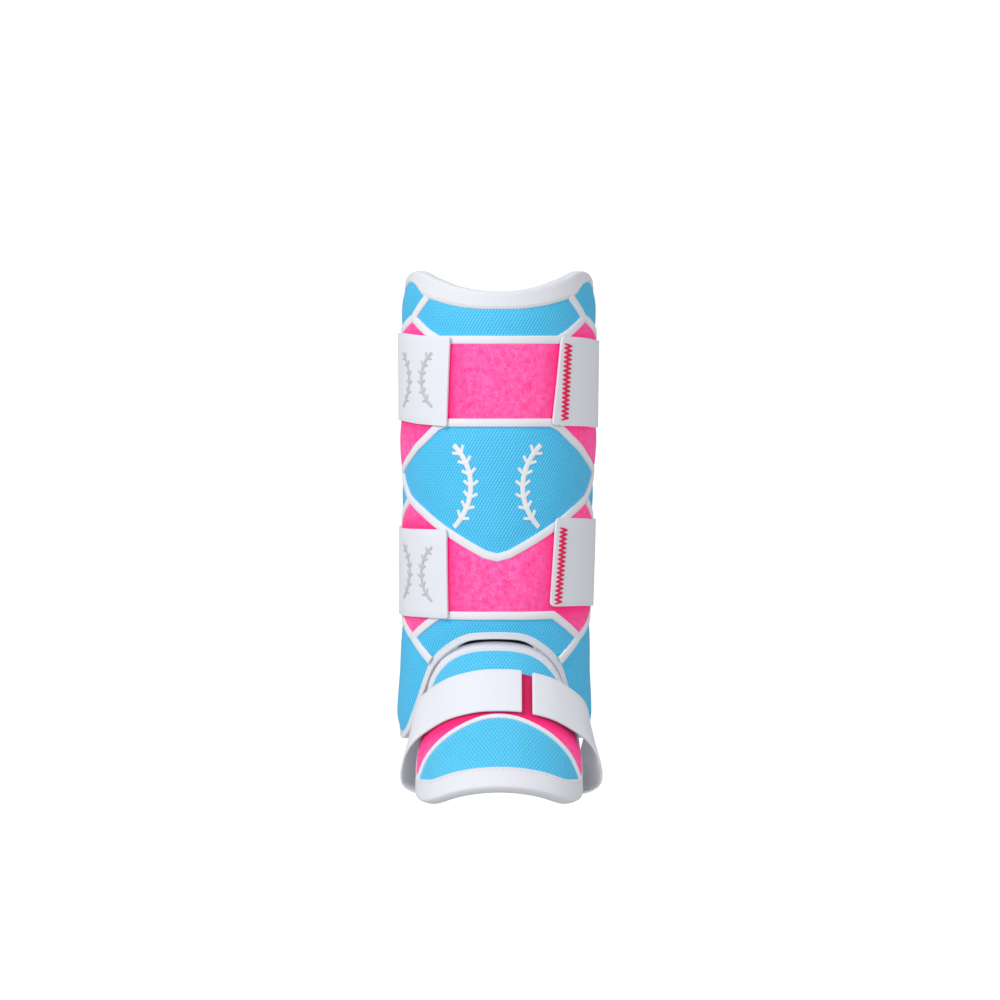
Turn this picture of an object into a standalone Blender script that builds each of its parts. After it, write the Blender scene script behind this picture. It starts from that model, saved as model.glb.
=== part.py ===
"""Batters leg guard: padded shin shell, instep guard, calf straps and foot strap."""

import math

import bmesh
import bpy
import numpy as np
from mathutils import Vector

# Driving sizes of the shin shell, metres
HALF_WIDTH = 0.0568
FRONT_DEPTH = 0.0600
BACK_DEPTH = 0.0620
RIM_HEIGHT = 0.1210
SKIRT_DEPTH = 0.1570
SHELL_WALL = 0.0080
SHELL_EDGE_WALL = 0.0046

# Driving sizes of the instep guard, metres
GUARD_LENGTH = 0.0940
GUARD_TOP_RADIUS = 0.0465
GUARD_HEM_RADIUS = 0.0485
GUARD_WALL = 0.0060
GUARD_EDGE_WALL = 0.0040

# Soft goods, metres
FIT_GAP = 0.0003
BINDING_GAP = 0.0004
BINDING_WALL = 0.0010
RIM_BINDING_WIDTH = 0.0108
EDGE_BINDING_WIDTH = 0.0038
HEM_BINDING_WIDTH = 0.0130
LOOP_WALL = 0.0008
TRIM_WIDTH = 0.0044
TRIM_WALL = 0.0009
STRAP_WIDTH = 0.0516
STRAP_WALL = 0.0015
FOOT_STRAP_WIDTH = 0.0284
FOOT_STRAP_WALL = 0.0014
HINGE_WALL = 0.0012
TAPER = 0.0130

# Mesh steps, metres
COLUMN = 0.0084
ROW = 0.0220
EDGE_STEP = 0.0070
WELD = 0.00001
SLOPE_STEP = 0.0005

# Shares of the named sizes: where the wide rim binding starts on the way up, and where the
# instep spine starts before the leg and below its middle
RIM_BINDING_LEVEL = 0.60
SPINE_FORWARD = 0.9333
SPINE_HEIGHT = -0.6561

# Shell section against height: width, depth and sideways lean as shares of the shell's sizes
FORM_ROWS = (
    ("height", "width", "depth", "lean"),
    (-1.00, 1.020, 0.960, -0.0458),
    (-0.90, 1.016, 0.958, -0.0458),
    (-0.75, 0.985, 0.950, -0.0387),
    (-0.55, 0.975, 0.945, -0.0282),
    (-0.30, 0.985, 0.965, -0.0176),
    (0.00, 0.992, 0.985, -0.0070),
    (0.20, 0.999, 0.995, -0.0035),
    (0.70, 1.008, 1.000, 0.0),
    (1.00, 1.000, 1.020, 0.0070),
)

# Shell outline, right half from the middle of the rim to the middle of the ankle arch
SHELL_ROWS = (
    ("degrees", "height"),
    (0.0, 0.874),
    (10.0, 0.878),
    (18.0, 0.887),
    (28.0, 0.904),
    (38.5, 0.930),
    (45.5, 0.946),
    (52.5, 0.968),
    (60.0, 0.981),
    (69.0, 0.978),
    (79.0, 0.947),
    (90.0, 0.895),
    (99.0, 0.815),
    (103.0, 0.700),
    (104.0, 0.540),
    (104.0, 0.200),
    (104.0, -0.200),
    (104.0, -0.600),
    (103.0, -0.780),
    (99.5, -0.900),
    (92.0, -0.975),
    (82.0, -1.000),
    (72.0, -0.995),
    (64.0, -0.965),
    (57.5, -0.915),
    (52.5, -0.855),
    (48.0, -0.790),
    (43.5, -0.728),
    (38.5, -0.686),
    (33.0, -0.658),
    (27.0, -0.633),
    (20.5, -0.612),
    (13.0, -0.600),
    (0.0, -0.596),
)

# Width of the rim binding against the angle round the leg, as a share of its greatest width
RIM_BINDING_ROWS = (
    ("degrees", "width"),
    (0.0, 0.833),
    (38.0, 1.000),
    (47.0, 1.000),
    (60.0, 0.648),
    (72.0, 0.426),
    (104.0, 0.352),
)

# Pattern lines on the shell, right half
TOP_TRIM_ROWS = (
    ("degrees", "height"),
    (0.0, 0.654),
    (37.0, 0.655),
    (44.0, 0.683),
    (60.0, 0.762),
    (48.2, 0.836),
)
CENTRE_TRIM_ROWS = (
    ("degrees", "height"),
    (0.0, 0.261),
    (32.0, 0.260),
    (38.0, 0.240),
    (48.0, 0.179),
    (57.0, 0.134),
    (66.0, 0.083),
    (84.0, 0.008),
    (66.0, -0.086),
    (50.0, -0.134),
    (34.0, -0.192),
    (18.0, -0.247),
    (7.0, -0.284),
    (0.0, -0.295),
)
ANKLE_TRIM_ROWS = (
    ("degrees", "height"),
    (0.0, -0.510),
    (36.5, -0.514),
    (60.5, -0.608),
    (44.0, -0.678),
)
SIDE_TRIM_ROWS = (
    ("name", "start_degrees", "start_height", "end_degrees", "end_height"),
    ("upper", 63.6, 0.752, 97.5, 0.650),
    ("middle", 88.0, 0.014, 97.5, 0.026),
    ("waist", 69.6, -0.104, 97.5, -0.222),
    ("lower", 64.2, -0.598, 97.5, -0.500),
)

# Loop fabric outlines on the shell, right half
UPPER_LOOP_ROWS = (
    ("degrees", "height"),
    (0.0, 0.630),
    (37.6, 0.631),
    (46.0, 0.662),
    (60.6, 0.735),
    (66.5, 0.719),
    (96.8, 0.625),
    (96.8, 0.050),
    (86.8, 0.038),
    (69.0, 0.105),
    (60.0, 0.154),
    (50.4, 0.201),
    (40.0, 0.262),
    (33.2, 0.288),
    (0.0, 0.288),
)
LOWER_LOOP_ROWS = (
    ("degrees", "height"),
    (0.0, -0.315),
    (8.6, -0.303),
    (19.6, -0.264),
    (35.4, -0.210),
    (50.8, -0.154),
    (64.6, -0.112),
    (69.0, -0.122),
    (96.8, -0.240),
    (96.8, -0.482),
    (62.0, -0.586),
    (37.4, -0.494),
    (0.0, -0.490),
)

# Instep spine from where it starts at the shell, as shares of the guard's length
SPINE_ROWS = (
    ("along", "forward", "height"),
    (0.00, 0.0000, 0.0000),
    (0.33, 0.2074, -0.2553),
    (0.66, 0.4309, -0.4947),
    (1.00, 0.6755, -0.7287),
)

# Guard outline, right half from the middle of the top edge to the middle of the hem
GUARD_ROWS = (
    ("degrees", "along"),
    (0.0, -0.076),
    (12.0, -0.077),
    (19.0, -0.077),
    (26.0, -0.071),
    (33.0, -0.055),
    (40.0, -0.026),
    (47.0, 0.012),
    (54.0, 0.062),
    (60.0, 0.132),
    (67.0, 0.215),
    (73.0, 0.300),
    (77.5, 0.400),
    (80.0, 0.540),
    (79.5, 0.650),
    (75.0, 0.750),
    (66.0, 0.834),
    (56.0, 0.898),
    (46.0, 0.930),
    (34.0, 0.947),
    (18.0, 0.961),
    (0.0, 0.966),
)
HEM_BINDING_ROWS = (
    ("along", "width"),
    (0.20, 0.277),
    (0.60, 0.385),
    (0.80, 0.846),
    (0.95, 1.000),
)
GUARD_TRIM_ROWS = (
    ("degrees", "along"),
    (0.0, 0.450),
    (10.0, 0.457),
    (19.0, 0.476),
    (36.5, 0.524),
    (50.5, 0.572),
    (58.5, 0.606),
    (65.0, 0.645),
)
GUARD_LOOP_ROWS = (
    ("degrees", "along"),
    (0.0, 0.115),
    (24.0, 0.125),
    (40.0, 0.165),
    (50.0, 0.250),
    (62.5, 0.385),
    (71.0, 0.500),
    (72.2, 0.590),
    (69.6, 0.636),
    (63.0, 0.590),
    (51.0, 0.540),
    (37.0, 0.493),
    (19.0, 0.445),
    (10.0, 0.425),
    (0.0, 0.418),
)

# Calf straps from the left end round the back to the right end: centre as a share of the
# height it lies at, slant of the end as a share of the strap's width
UPPER_STRAP_ROWS = (
    ("degrees", "centre", "end_slant"),
    (-28.8, 0.456, 0.023),
    (-50.0, 0.464, 0.0),
    (-87.0, 0.478, 0.0),
    (-180.0, 0.464, 0.0),
    (-273.0, 0.441, 0.0),
    (-300.0, 0.451, 0.0),
    (-323.6, 0.460, 0.058),
)
LOWER_STRAP_ROWS = (
    ("degrees", "centre", "end_slant"),
    (-29.2, -0.358, -0.012),
    (-50.0, -0.362, 0.0),
    (-87.0, -0.368, 0.0),
    (-180.0, -0.357, 0.0),
    (-273.0, -0.338, 0.0),
    (-300.0, -0.325, 0.0),
    (-326.0, -0.315, 0.027),
)

# Foot strap, right half from the crown to the middle of the sole, from the start of the
# instep spine: lengths as shares of the guard's top radius, lean in degrees
STIRRUP_ROWS = (
    ("across", "forward", "height", "lean", "splay"),
    (0.000, 0.387, -0.400, 49.7, 0.00),
    (0.222, 0.372, -0.411, 49.6, 0.00),
    (0.434, 0.323, -0.456, 49.5, 0.00),
    (0.641, 0.239, -0.529, 49.2, 0.00),
    (0.843, 0.116, -0.656, 48.0, 0.00),
    (1.032, -0.022, -0.828, 45.0, 0.04),
    (1.135, -0.140, -1.032, 40.0, 0.12),
    (1.157, -0.226, -1.247, 32.0, 0.24),
    (1.148, -0.290, -1.430, 22.0, 0.34),
    (1.114, -0.333, -1.581, 12.0, 0.38),
    (1.022, -0.366, -1.688, 4.0, 0.32),
    (0.860, -0.387, -1.738, 0.0, 0.20),
    (0.645, -0.409, -1.725, -3.0, 0.10),
    (0.323, -0.426, -1.695, -5.0, 0.03),
    (0.000, -0.430, -1.682, -5.0, 0.00),
)
STIRRUP_SHIFT = 0.0016
STRAP_LEFT_END = 0.0128
STRAP_RIGHT_END = 0.0190

# Ankle hinge: share of its length, the form it lies on, its place there as a share of the
# skirt's depth or the guard's length, and its depth under the face as a share of the wall
HINGE_ROWS = (
    ("along", "on_shell", "place", "depth"),
    (0.00, True, -0.4586, 1.075),
    (0.32, True, -0.5605, 1.100),
    (0.60, False, -0.0904, 1.317),
    (0.80, False, 0.0106, 1.150),
    (1.00, False, 0.1170, 1.067),
)
HINGE_HALF_WIDTH = 0.0250
HINGE_LENGTH = 0.0500

# Finishes: base colour, roughness
BLUE_MESH = ("blue_mesh", (0.105, 0.565, 0.905), 0.75)
PINK_LOOP = ("pink_loop", (0.960, 0.055, 0.300), 0.90)
WHITE_BINDING = ("white_binding", (0.860, 0.860, 0.885), 0.70)
WHITE_TRIM = ("white_trim", (0.900, 0.900, 0.920), 0.60)
WHITE_STRAP = ("white_strap", (0.860, 0.880, 0.920), 0.80)
DARK_WEB = ("dark_web", (0.040, 0.040, 0.045), 0.90)


def column(rows, heading):
    """One named column of a table as an array."""
    index = rows[0].index(heading)
    return np.array([row[index] for row in rows[1:]])


def level(share):
    """Heights in metres from shares of the rim's height or of the skirt's depth."""
    return np.where(share > 0, share * RIM_HEIGHT, share * SKIRT_DEPTH)


def half_outline(rows):
    """Right half of a symmetric outline in metres on the shell: round the leg, up."""
    around = np.radians(column(rows, "degrees")) * HALF_WIDTH
    return np.column_stack((around, level(column(rows, "height"))))


def guard_outline(rows):
    """Right half of a symmetric outline in metres on the guard: round the foot, along."""
    along = column(rows, "along")
    radius = GUARD_TOP_RADIUS + (GUARD_HEM_RADIUS - GUARD_TOP_RADIUS) * along
    around = np.radians(column(rows, "degrees")) * radius
    return np.column_stack((around, along * GUARD_LENGTH))


def both_halves(half, closed):
    """A symmetric line from its right half, running from the right end to the left."""
    mirrored = half * np.array((-1.0, 1.0))
    if closed:
        return np.vstack((half, mirrored[-2:0:-1]))
    return np.vstack((half[::-1], mirrored[1:]))


def smooth_line(points, closed):
    """Catmull-Rom line through points, in steps of about the edge step."""
    count = len(points)
    line = []
    for i in range(count if closed else count - 1):
        before = points[(i - 1) % count] if closed or i else points[0]
        start = points[i]
        end = points[(i + 1) % count]
        after = points[(i + 2) % count] if closed or i + 2 < count else points[-1]
        steps = max(1, round(float(np.linalg.norm(end - start)) / EDGE_STEP))
        for t in np.arange(steps) / steps:
            line.append(
                0.5 * (2 * start + (end - before) * t
                       + (2 * before - 5 * start + 4 * end - after) * t ** 2
                       + (3 * start - before - 3 * end + after) * t ** 3)
            )
    if not closed:
        line.append(points[-1])
    return np.array(line)


def straight_line(points, closed):
    """Polyline through points cut into pieces no longer than the edge step."""
    count = len(points)
    line = []
    for i in range(count if closed else count - 1):
        start = points[i]
        end = points[(i + 1) % count]
        steps = max(1, math.ceil(float(np.linalg.norm(end - start)) / EDGE_STEP))
        for t in np.arange(steps) / steps:
            line.append(start + (end - start) * t)
    if not closed:
        line.append(points[-1])
    return np.array(line)


def side_directions(line, closed):
    """Mitred directions at right angles to a line, on its left-hand side."""
    if closed:
        forward = np.roll(line, -1, axis=0) - line
        back = line - np.roll(line, 1, axis=0)
    else:
        step = np.diff(line, axis=0)
        forward = np.vstack((step, step[-1:]))
        back = np.vstack((step[:1], step))
    forward = forward / np.linalg.norm(forward, axis=1)[:, None]
    back = back / np.linalg.norm(back, axis=1)[:, None]
    forward = np.column_stack((-forward[:, 1], forward[:, 0]))
    back = np.column_stack((-back[:, 1], back[:, 0]))
    middle = forward + back
    middle = middle / np.linalg.norm(middle, axis=1)[:, None]
    return middle / np.sum(middle * forward, axis=1)[:, None]


def edge_distance(point, outline):
    """Distance in the flat from a point to a closed outline."""
    start = outline
    run = np.roll(outline, -1, axis=0) - start
    share = np.sum((point - start) * run, axis=1) / np.sum(run * run, axis=1)
    nearest = start + run * np.clip(share, 0.0, 1.0)[:, None]
    return float(np.min(np.linalg.norm(point - nearest, axis=1)))


def taper(distance):
    """Share of the edge taper left at a distance from the edge."""
    return max(0.0, 1.0 - distance / TAPER)


def section(height):
    """Half width, front depth, back depth and lean of the shell at a height."""
    share = height / (RIM_HEIGHT if height > 0 else SKIRT_DEPTH)
    levels = column(FORM_ROWS, "height")
    width = float(np.interp(share, levels, column(FORM_ROWS, "width")))
    depth = float(np.interp(share, levels, column(FORM_ROWS, "depth")))
    lean = float(np.interp(share, levels, column(FORM_ROWS, "lean")))
    return HALF_WIDTH * width, FRONT_DEPTH * depth, BACK_DEPTH, HALF_WIDTH * lean


def shell_form(around, height, lift):
    """Point on the leg form: round the leg from the front, up, and out from the face."""
    angle = around / HALF_WIDTH
    width, front, back, lean = section(height)
    depth = front if math.cos(angle) > 0 else back
    place = Vector((lean + width * math.sin(angle), -depth * math.cos(angle), height))
    outward = Vector((depth * math.sin(angle), -width * math.cos(angle), 0.0))
    return place + outward.normalized() * lift


def spine_start():
    """Where the instep spine starts before the shell."""
    return Vector((0.0, -SPINE_FORWARD * FRONT_DEPTH, SPINE_HEIGHT * SKIRT_DEPTH))


def spine(along):
    """Point of the instep spine and its direction, a distance along the guard."""
    stations = column(SPINE_ROWS, "along") * GUARD_LENGTH
    inside = min(max(along, stations[0] + SLOPE_STEP), stations[-1] - SLOPE_STEP)
    places = []
    for at in (inside - SLOPE_STEP, inside, inside + SLOPE_STEP):
        forward = float(np.interp(at, stations, column(SPINE_ROWS, "forward")))
        height = float(np.interp(at, stations, column(SPINE_ROWS, "height")))
        places.append(spine_start() + Vector((0.0, -forward, height)) * GUARD_LENGTH)
    direction = (places[2] - places[0]).normalized()
    return places[1] + direction * (along - inside), direction


def guard_form(around, along, lift):
    """Point on the instep form: round the foot, along the instep, out from the face."""
    share = along / GUARD_LENGTH
    radius = GUARD_TOP_RADIUS + (GUARD_HEM_RADIUS - GUARD_TOP_RADIUS) * share
    place, direction = spine(along)
    inward = Vector((0.0, -direction.z, direction.y))
    angle = around / radius
    reach = radius + lift
    across = Vector((reach * math.sin(angle), 0.0, 0.0))
    return place + across + inward * (radius - reach * math.cos(angle))


def stirrup_path():
    """Centre points and width directions of the whole foot strap, end to end."""
    scale = (GUARD_TOP_RADIUS, GUARD_TOP_RADIUS, GUARD_TOP_RADIUS, 1.0, 1.0)
    half = np.column_stack([column(STIRRUP_ROWS, name) for name in STIRRUP_ROWS[0]]) * scale
    start = spine_start()
    half = half + (0.0, -start.y, start.z, 0.0, 0.0)
    ring = np.vstack((half, (half * (-1.0, 1.0, 1.0, 1.0, -1.0))[-2::-1]))
    overlap = np.vstack((ring, half[1:4]))
    gaps = np.linalg.norm(np.diff(overlap[:, :3], axis=0), axis=1)
    run = np.concatenate(((0.0,), np.cumsum(gaps)))
    return run, overlap, float(run[len(ring) - 1])


def stirrup_form(along, aside, lift):
    """Point on the foot strap: along it, across its width, out from its inner face."""
    run, ring, _ = stirrup_path()
    here = np.array([np.interp(along, run, ring[:, i]) for i in range(5)])
    ahead = np.array([np.interp(along + SLOPE_STEP, run, ring[:, i]) for i in range(3)])
    behind = np.array([np.interp(along - SLOPE_STEP, run, ring[:, i]) for i in range(3)])
    lean = math.radians(float(here[3]))
    shift = STIRRUP_SHIFT * abs(float(here[0])) / float(np.max(ring[:, 0]))
    place = Vector((float(here[0]) + shift, -float(here[1]), float(here[2])))
    step = ahead - behind
    tangent = Vector((float(step[0]), -float(step[1]), float(step[2]))).normalized()
    wide = Vector((float(here[4]), -math.cos(lean), -math.sin(lean))).normalized()
    outward = wide.cross(tangent).normalized()
    return place + wide * aside + outward * lift


def hinge_form(across, along, lift):
    """Point on the ankle hinge, bridging the inside of the shell and of the guard."""
    share = along / HINGE_LENGTH
    stations = column(HINGE_ROWS, "along")
    places = []
    for _, on_shell, place, depth in HINGE_ROWS[1:]:
        if on_shell:
            places.append(shell_form(across, place * SKIRT_DEPTH, lift - depth * SHELL_WALL))
        else:
            places.append(guard_form(across, place * GUARD_LENGTH, lift - depth * GUARD_WALL))
    return Vector([float(np.interp(share, stations, [p[i] for p in places]))
                   for i in range(3)])


def material(finish):
    """Principled material of a finish, made once."""
    name, colour, roughness = finish
    found = bpy.data.materials.get(name)
    if found:
        return found
    made = bpy.data.materials.new(name)
    made.use_nodes = True
    shader = made.node_tree.nodes["Principled BSDF"]
    shader.inputs["Base Color"].default_value = (*colour, 1.0)
    shader.inputs["Roughness"].default_value = roughness
    shader.inputs["Metallic"].default_value = 0.0
    made.diffuse_color = (*colour, 1.0)
    return made


def finish_object(mesh_data, name, finish, collection):
    """Close a bmesh into a named object with its material."""
    bmesh.ops.triangulate(mesh_data, faces=mesh_data.faces)
    bmesh.ops.recalc_face_normals(mesh_data, faces=mesh_data.faces)
    if mesh_data.calc_volume(signed=True) < 0:
        bmesh.ops.reverse_faces(mesh_data, faces=mesh_data.faces)
    mesh = bpy.data.meshes.new(name)
    mesh_data.to_mesh(mesh)
    mesh_data.free()
    mesh.materials.append(material(finish))
    mesh.polygons.foreach_set("use_smooth", [True] * len(mesh.polygons))
    mesh.set_sharp_from_angle(angle=math.radians(40.0))
    made = bpy.data.objects.new(name, mesh)
    collection.objects.link(made)
    return made


def cut_across(flat, axis, spacing):
    """Cut a flat sheet by evenly spaced planes across one of its axes."""
    places = [vert.co[axis] for vert in flat.verts]
    first = math.ceil(min(places) / spacing)
    last = math.floor(max(places) / spacing)
    normal = Vector((1.0, 0.0, 0.0)) if axis == 0 else Vector((0.0, 1.0, 0.0))
    for step in range(first, last + 1):
        geometry = flat.verts[:] + flat.edges[:] + flat.faces[:]
        bmesh.ops.bisect_plane(flat, geom=geometry, dist=WELD,
                               plane_co=normal * (step * spacing), plane_no=normal)


def thicken(flat, low, high):
    """Turn a flat sheet into a flat block between two levels."""
    bmesh.ops.translate(flat, verts=flat.verts, vec=(0.0, 0.0, low))
    grown = bmesh.ops.extrude_face_region(flat, geom=flat.faces[:])
    top = [item for item in grown["geom"] if isinstance(item, bmesh.types.BMVert)]
    bmesh.ops.translate(flat, verts=top, vec=(0.0, 0.0, high - low))


def outline_sheet(outline):
    """Flat sheet filling a closed outline."""
    flat = bmesh.new()
    bmesh.ops.create_circle(flat, cap_ends=True, segments=len(outline), radius=1.0)
    flat.verts.ensure_lookup_table()
    for vert, place in zip(flat.verts, outline[::-1]):
        vert.co = (place[0], place[1], 0.0)
    return flat


def panel(name, finish, outline, form, low, high, collection, rows=ROW):
    """Fabric panel of a flat outline laid on a form between two lifts."""
    flat = outline_sheet(outline)
    cut_across(flat, 0, COLUMN)
    cut_across(flat, 1, rows)
    thicken(flat, low, high)
    for vert in flat.verts:
        vert.co = form(*vert.co)
    return finish_object(flat, name, finish, collection)


def padded_panel(name, finish, outline, form, wall, edge_wall, collection):
    """Padded panel whose wall thins evenly from both faces towards its edge."""
    flat = outline_sheet(outline)
    bmesh.ops.inset_region(flat, faces=flat.faces[:], thickness=TAPER,
                           use_even_offset=True)
    cut_across(flat, 0, COLUMN)
    cut_across(flat, 1, ROW)
    thicken(flat, -1.0, 0.0)
    dip = (wall - edge_wall) / 2
    for vert in flat.verts:
        place = np.array(vert.co[:2])
        sunk = dip * taper(edge_distance(place, outline))
        lift = -sunk if vert.co.z > -0.5 else sunk - wall
        vert.co = form(vert.co.x, vert.co.y, lift)
    return finish_object(flat, name, finish, collection)


def binding(name, finish, line, widths, form, wall, edge_wall, collection):
    """U-shaped edge binding swept round a closed padded edge."""
    sides = side_directions(line, closed=True)
    if float(np.sum(sides[0] * (line.mean(axis=0) - line[0]))) < 0:
        sides = -sides
    dip = (wall - edge_wall) / 2
    middle = -wall / 2
    section_rows = []
    for width in widths:
        thin = dip * taper(width)
        section_rows.append((
            (width, BINDING_GAP + BINDING_WALL - thin),
            (0.0, BINDING_GAP + BINDING_WALL - dip),
            (-BINDING_WALL - BINDING_GAP, middle),
            (0.0, -wall + dip - BINDING_GAP - BINDING_WALL),
            (width, -wall + thin - BINDING_GAP - BINDING_WALL),
            (width, -wall + thin - BINDING_GAP),
            (-BINDING_GAP, -wall + dip - BINDING_GAP),
            (-BINDING_GAP, BINDING_GAP - dip),
            (width, BINDING_GAP - thin),
        ))
    count = len(line)
    around = len(section_rows[0])
    tube = bmesh.new()
    bmesh.ops.create_grid(tube, x_segments=count, y_segments=around, size=1.0)
    tube.verts.ensure_lookup_table()
    for index, vert in enumerate(tube.verts):
        i = (index % (count + 1)) % count
        j = (index // (count + 1)) % around
        inset, lift = section_rows[i][j]
        place = line[i] + sides[i] * inset
        vert.co = form(place[0], place[1], lift)
    bmesh.ops.remove_doubles(tube, verts=tube.verts, dist=WELD)
    return finish_object(tube, name, finish, collection)


def trim(name, line, closed, form, collection):
    """Flat white trim laid along a pattern line."""
    sides = side_directions(line, closed)
    count = len(line) + (1 if closed else 0)
    flat = bmesh.new()
    bmesh.ops.create_grid(flat, x_segments=count - 1, y_segments=1, size=1.0)
    flat.verts.ensure_lookup_table()
    for index, vert in enumerate(flat.verts):
        i = (index % count) % len(line)
        aside = TRIM_WIDTH / 2 if index >= count else -TRIM_WIDTH / 2
        place = line[i] + sides[i] * aside
        vert.co = (place[0], place[1], 0.0)
    bmesh.ops.remove_doubles(flat, verts=flat.verts, dist=WELD)
    thicken(flat, FIT_GAP, FIT_GAP + TRIM_WALL)
    for vert in flat.verts:
        vert.co = form(*vert.co)
    return finish_object(flat, name, WHITE_TRIM, collection)


def rim_widths(line):
    """Binding width at each point of the shell edge, wide along the rim only."""
    degrees = np.degrees(np.abs(line[:, 0]) / HALF_WIDTH)
    wide = np.interp(degrees, column(RIM_BINDING_ROWS, "degrees"),
                     column(RIM_BINDING_ROWS, "width") * RIM_BINDING_WIDTH)
    return np.where(line[:, 1] > RIM_BINDING_LEVEL * RIM_HEIGHT, wide, EDGE_BINDING_WIDTH)


def build_shell(collection):
    """Padded shin shell with its edge binding."""
    outline = smooth_line(both_halves(half_outline(SHELL_ROWS), closed=True), closed=True)
    padded_panel("shin_shell", BLUE_MESH, outline, shell_form,
                 SHELL_WALL, SHELL_EDGE_WALL, collection)
    binding("shin_binding", WHITE_BINDING, outline, rim_widths(outline), shell_form,
            SHELL_WALL, SHELL_EDGE_WALL, collection)


def build_shell_facing(collection):
    """Loop fabric panels and white trims on the face of the shell."""
    for name, rows in (("upper_loop_panel", UPPER_LOOP_ROWS),
                       ("lower_loop_panel", LOWER_LOOP_ROWS)):
        outline = straight_line(both_halves(half_outline(rows), closed=True), closed=True)
        panel(name, PINK_LOOP, outline, shell_form, FIT_GAP, FIT_GAP + LOOP_WALL, collection)
    for name, rows, closed in (("top_panel_trim", TOP_TRIM_ROWS, False),
                               ("centre_panel_trim", CENTRE_TRIM_ROWS, True),
                               ("ankle_panel_trim", ANKLE_TRIM_ROWS, False)):
        line = straight_line(both_halves(half_outline(rows), closed), closed)
        trim(name, line, closed, shell_form, collection)
    for name, start, low, end, high in SIDE_TRIM_ROWS[1:]:
        rows = (("degrees", "height"), (start, low), (end, high))
        half = straight_line(half_outline(rows), closed=False)
        trim(f"{name}_side_trim_right", half, False, shell_form, collection)
        trim(f"{name}_side_trim_left", half * np.array((-1.0, 1.0)), False, shell_form,
             collection)


def hem_widths(line):
    """Binding width at each point of the guard edge, wide along the hem only."""
    return np.interp(line[:, 1] / GUARD_LENGTH, column(HEM_BINDING_ROWS, "along"),
                     column(HEM_BINDING_ROWS, "width") * HEM_BINDING_WIDTH)


def build_guard(collection):
    """Padded instep guard with its binding, loop fabric and trim."""
    outline = smooth_line(both_halves(guard_outline(GUARD_ROWS), closed=True), closed=True)
    padded_panel("foot_guard", BLUE_MESH, outline, guard_form,
                 GUARD_WALL, GUARD_EDGE_WALL, collection)
    binding("foot_binding", WHITE_BINDING, outline, hem_widths(outline), guard_form,
            GUARD_WALL, GUARD_EDGE_WALL, collection)
    loop = straight_line(both_halves(guard_outline(GUARD_LOOP_ROWS), closed=True), closed=True)
    panel("instep_loop_panel", PINK_LOOP, loop, guard_form,
          FIT_GAP, FIT_GAP + LOOP_WALL, collection)
    line = smooth_line(both_halves(guard_outline(GUARD_TRIM_ROWS), closed=False), closed=False)
    trim("instep_trim", line, False, guard_form, collection)


def calf_strap(name, rows, collection):
    """Elastic calf strap wrapped from one front tab round the back to the other."""
    around = np.radians(column(rows, "degrees")) * HALF_WIDTH
    centre = level(column(rows, "centre"))
    slant = column(rows, "end_slant") * STRAP_WIDTH
    half = STRAP_WIDTH / 2
    upper = np.column_stack((around + slant, centre + half))
    lower = np.column_stack((around - slant, centre - half))
    outline = straight_line(np.vstack((upper, lower[::-1])), closed=True)
    base = FIT_GAP * 2 + LOOP_WALL
    return panel(name, WHITE_STRAP, outline, shell_form, base, base + STRAP_WALL,
                 collection, rows=STRAP_WIDTH)


def build_foot_strap(collection):
    """Foot strap running from its left tab under the foot to its right tab."""
    length = stirrup_path()[2]
    first = STRAP_RIGHT_END
    last = length + STRAP_LEFT_END
    half = FOOT_STRAP_WIDTH / 2
    corners = np.array(((first, -half), (last, -half), (last, half), (first, half)))
    outline = straight_line(corners, closed=True)
    panel("foot_strap", WHITE_STRAP, outline, stirrup_form, 0.0, FOOT_STRAP_WALL,
          collection, rows=FOOT_STRAP_WIDTH)


def build_hinge(collection):
    """Plain web that joins shell and guard behind the ankle arch."""
    half = HINGE_HALF_WIDTH
    corners = np.array(((-half, 0.0), (half, 0.0), (half, HINGE_LENGTH), (-half, HINGE_LENGTH)))
    outline = straight_line(corners, closed=True)
    panel("ankle_hinge", DARK_WEB, outline, hinge_form, -HINGE_WALL, 0.0, collection,
          rows=EDGE_STEP)


def main():
    """Build every piece of the leg guard."""
    for old in list(bpy.data.objects):
        bpy.data.objects.remove(old, do_unlink=True)
    collection = bpy.data.collections.new("batters_leg_guard")
    bpy.context.scene.collection.children.link(collection)
    build_shell(collection)
    build_shell_facing(collection)
    build_guard(collection)
    calf_strap("upper_calf_strap", UPPER_STRAP_ROWS, collection)
    calf_strap("lower_calf_strap", LOWER_STRAP_ROWS, collection)
    build_foot_strap(collection)
    build_hinge(collection)


main()
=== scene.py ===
"""Dresses the batters leg guard: padded mesh panels, loop fabric, bindings, straps and thread."""

import logging
import math
from collections.abc import Callable, Sequence
from dataclasses import dataclass, field
from enum import Enum
from typing import Any

import bmesh
import bpy
import numpy as np
from mathutils import Matrix, Vector


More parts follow.
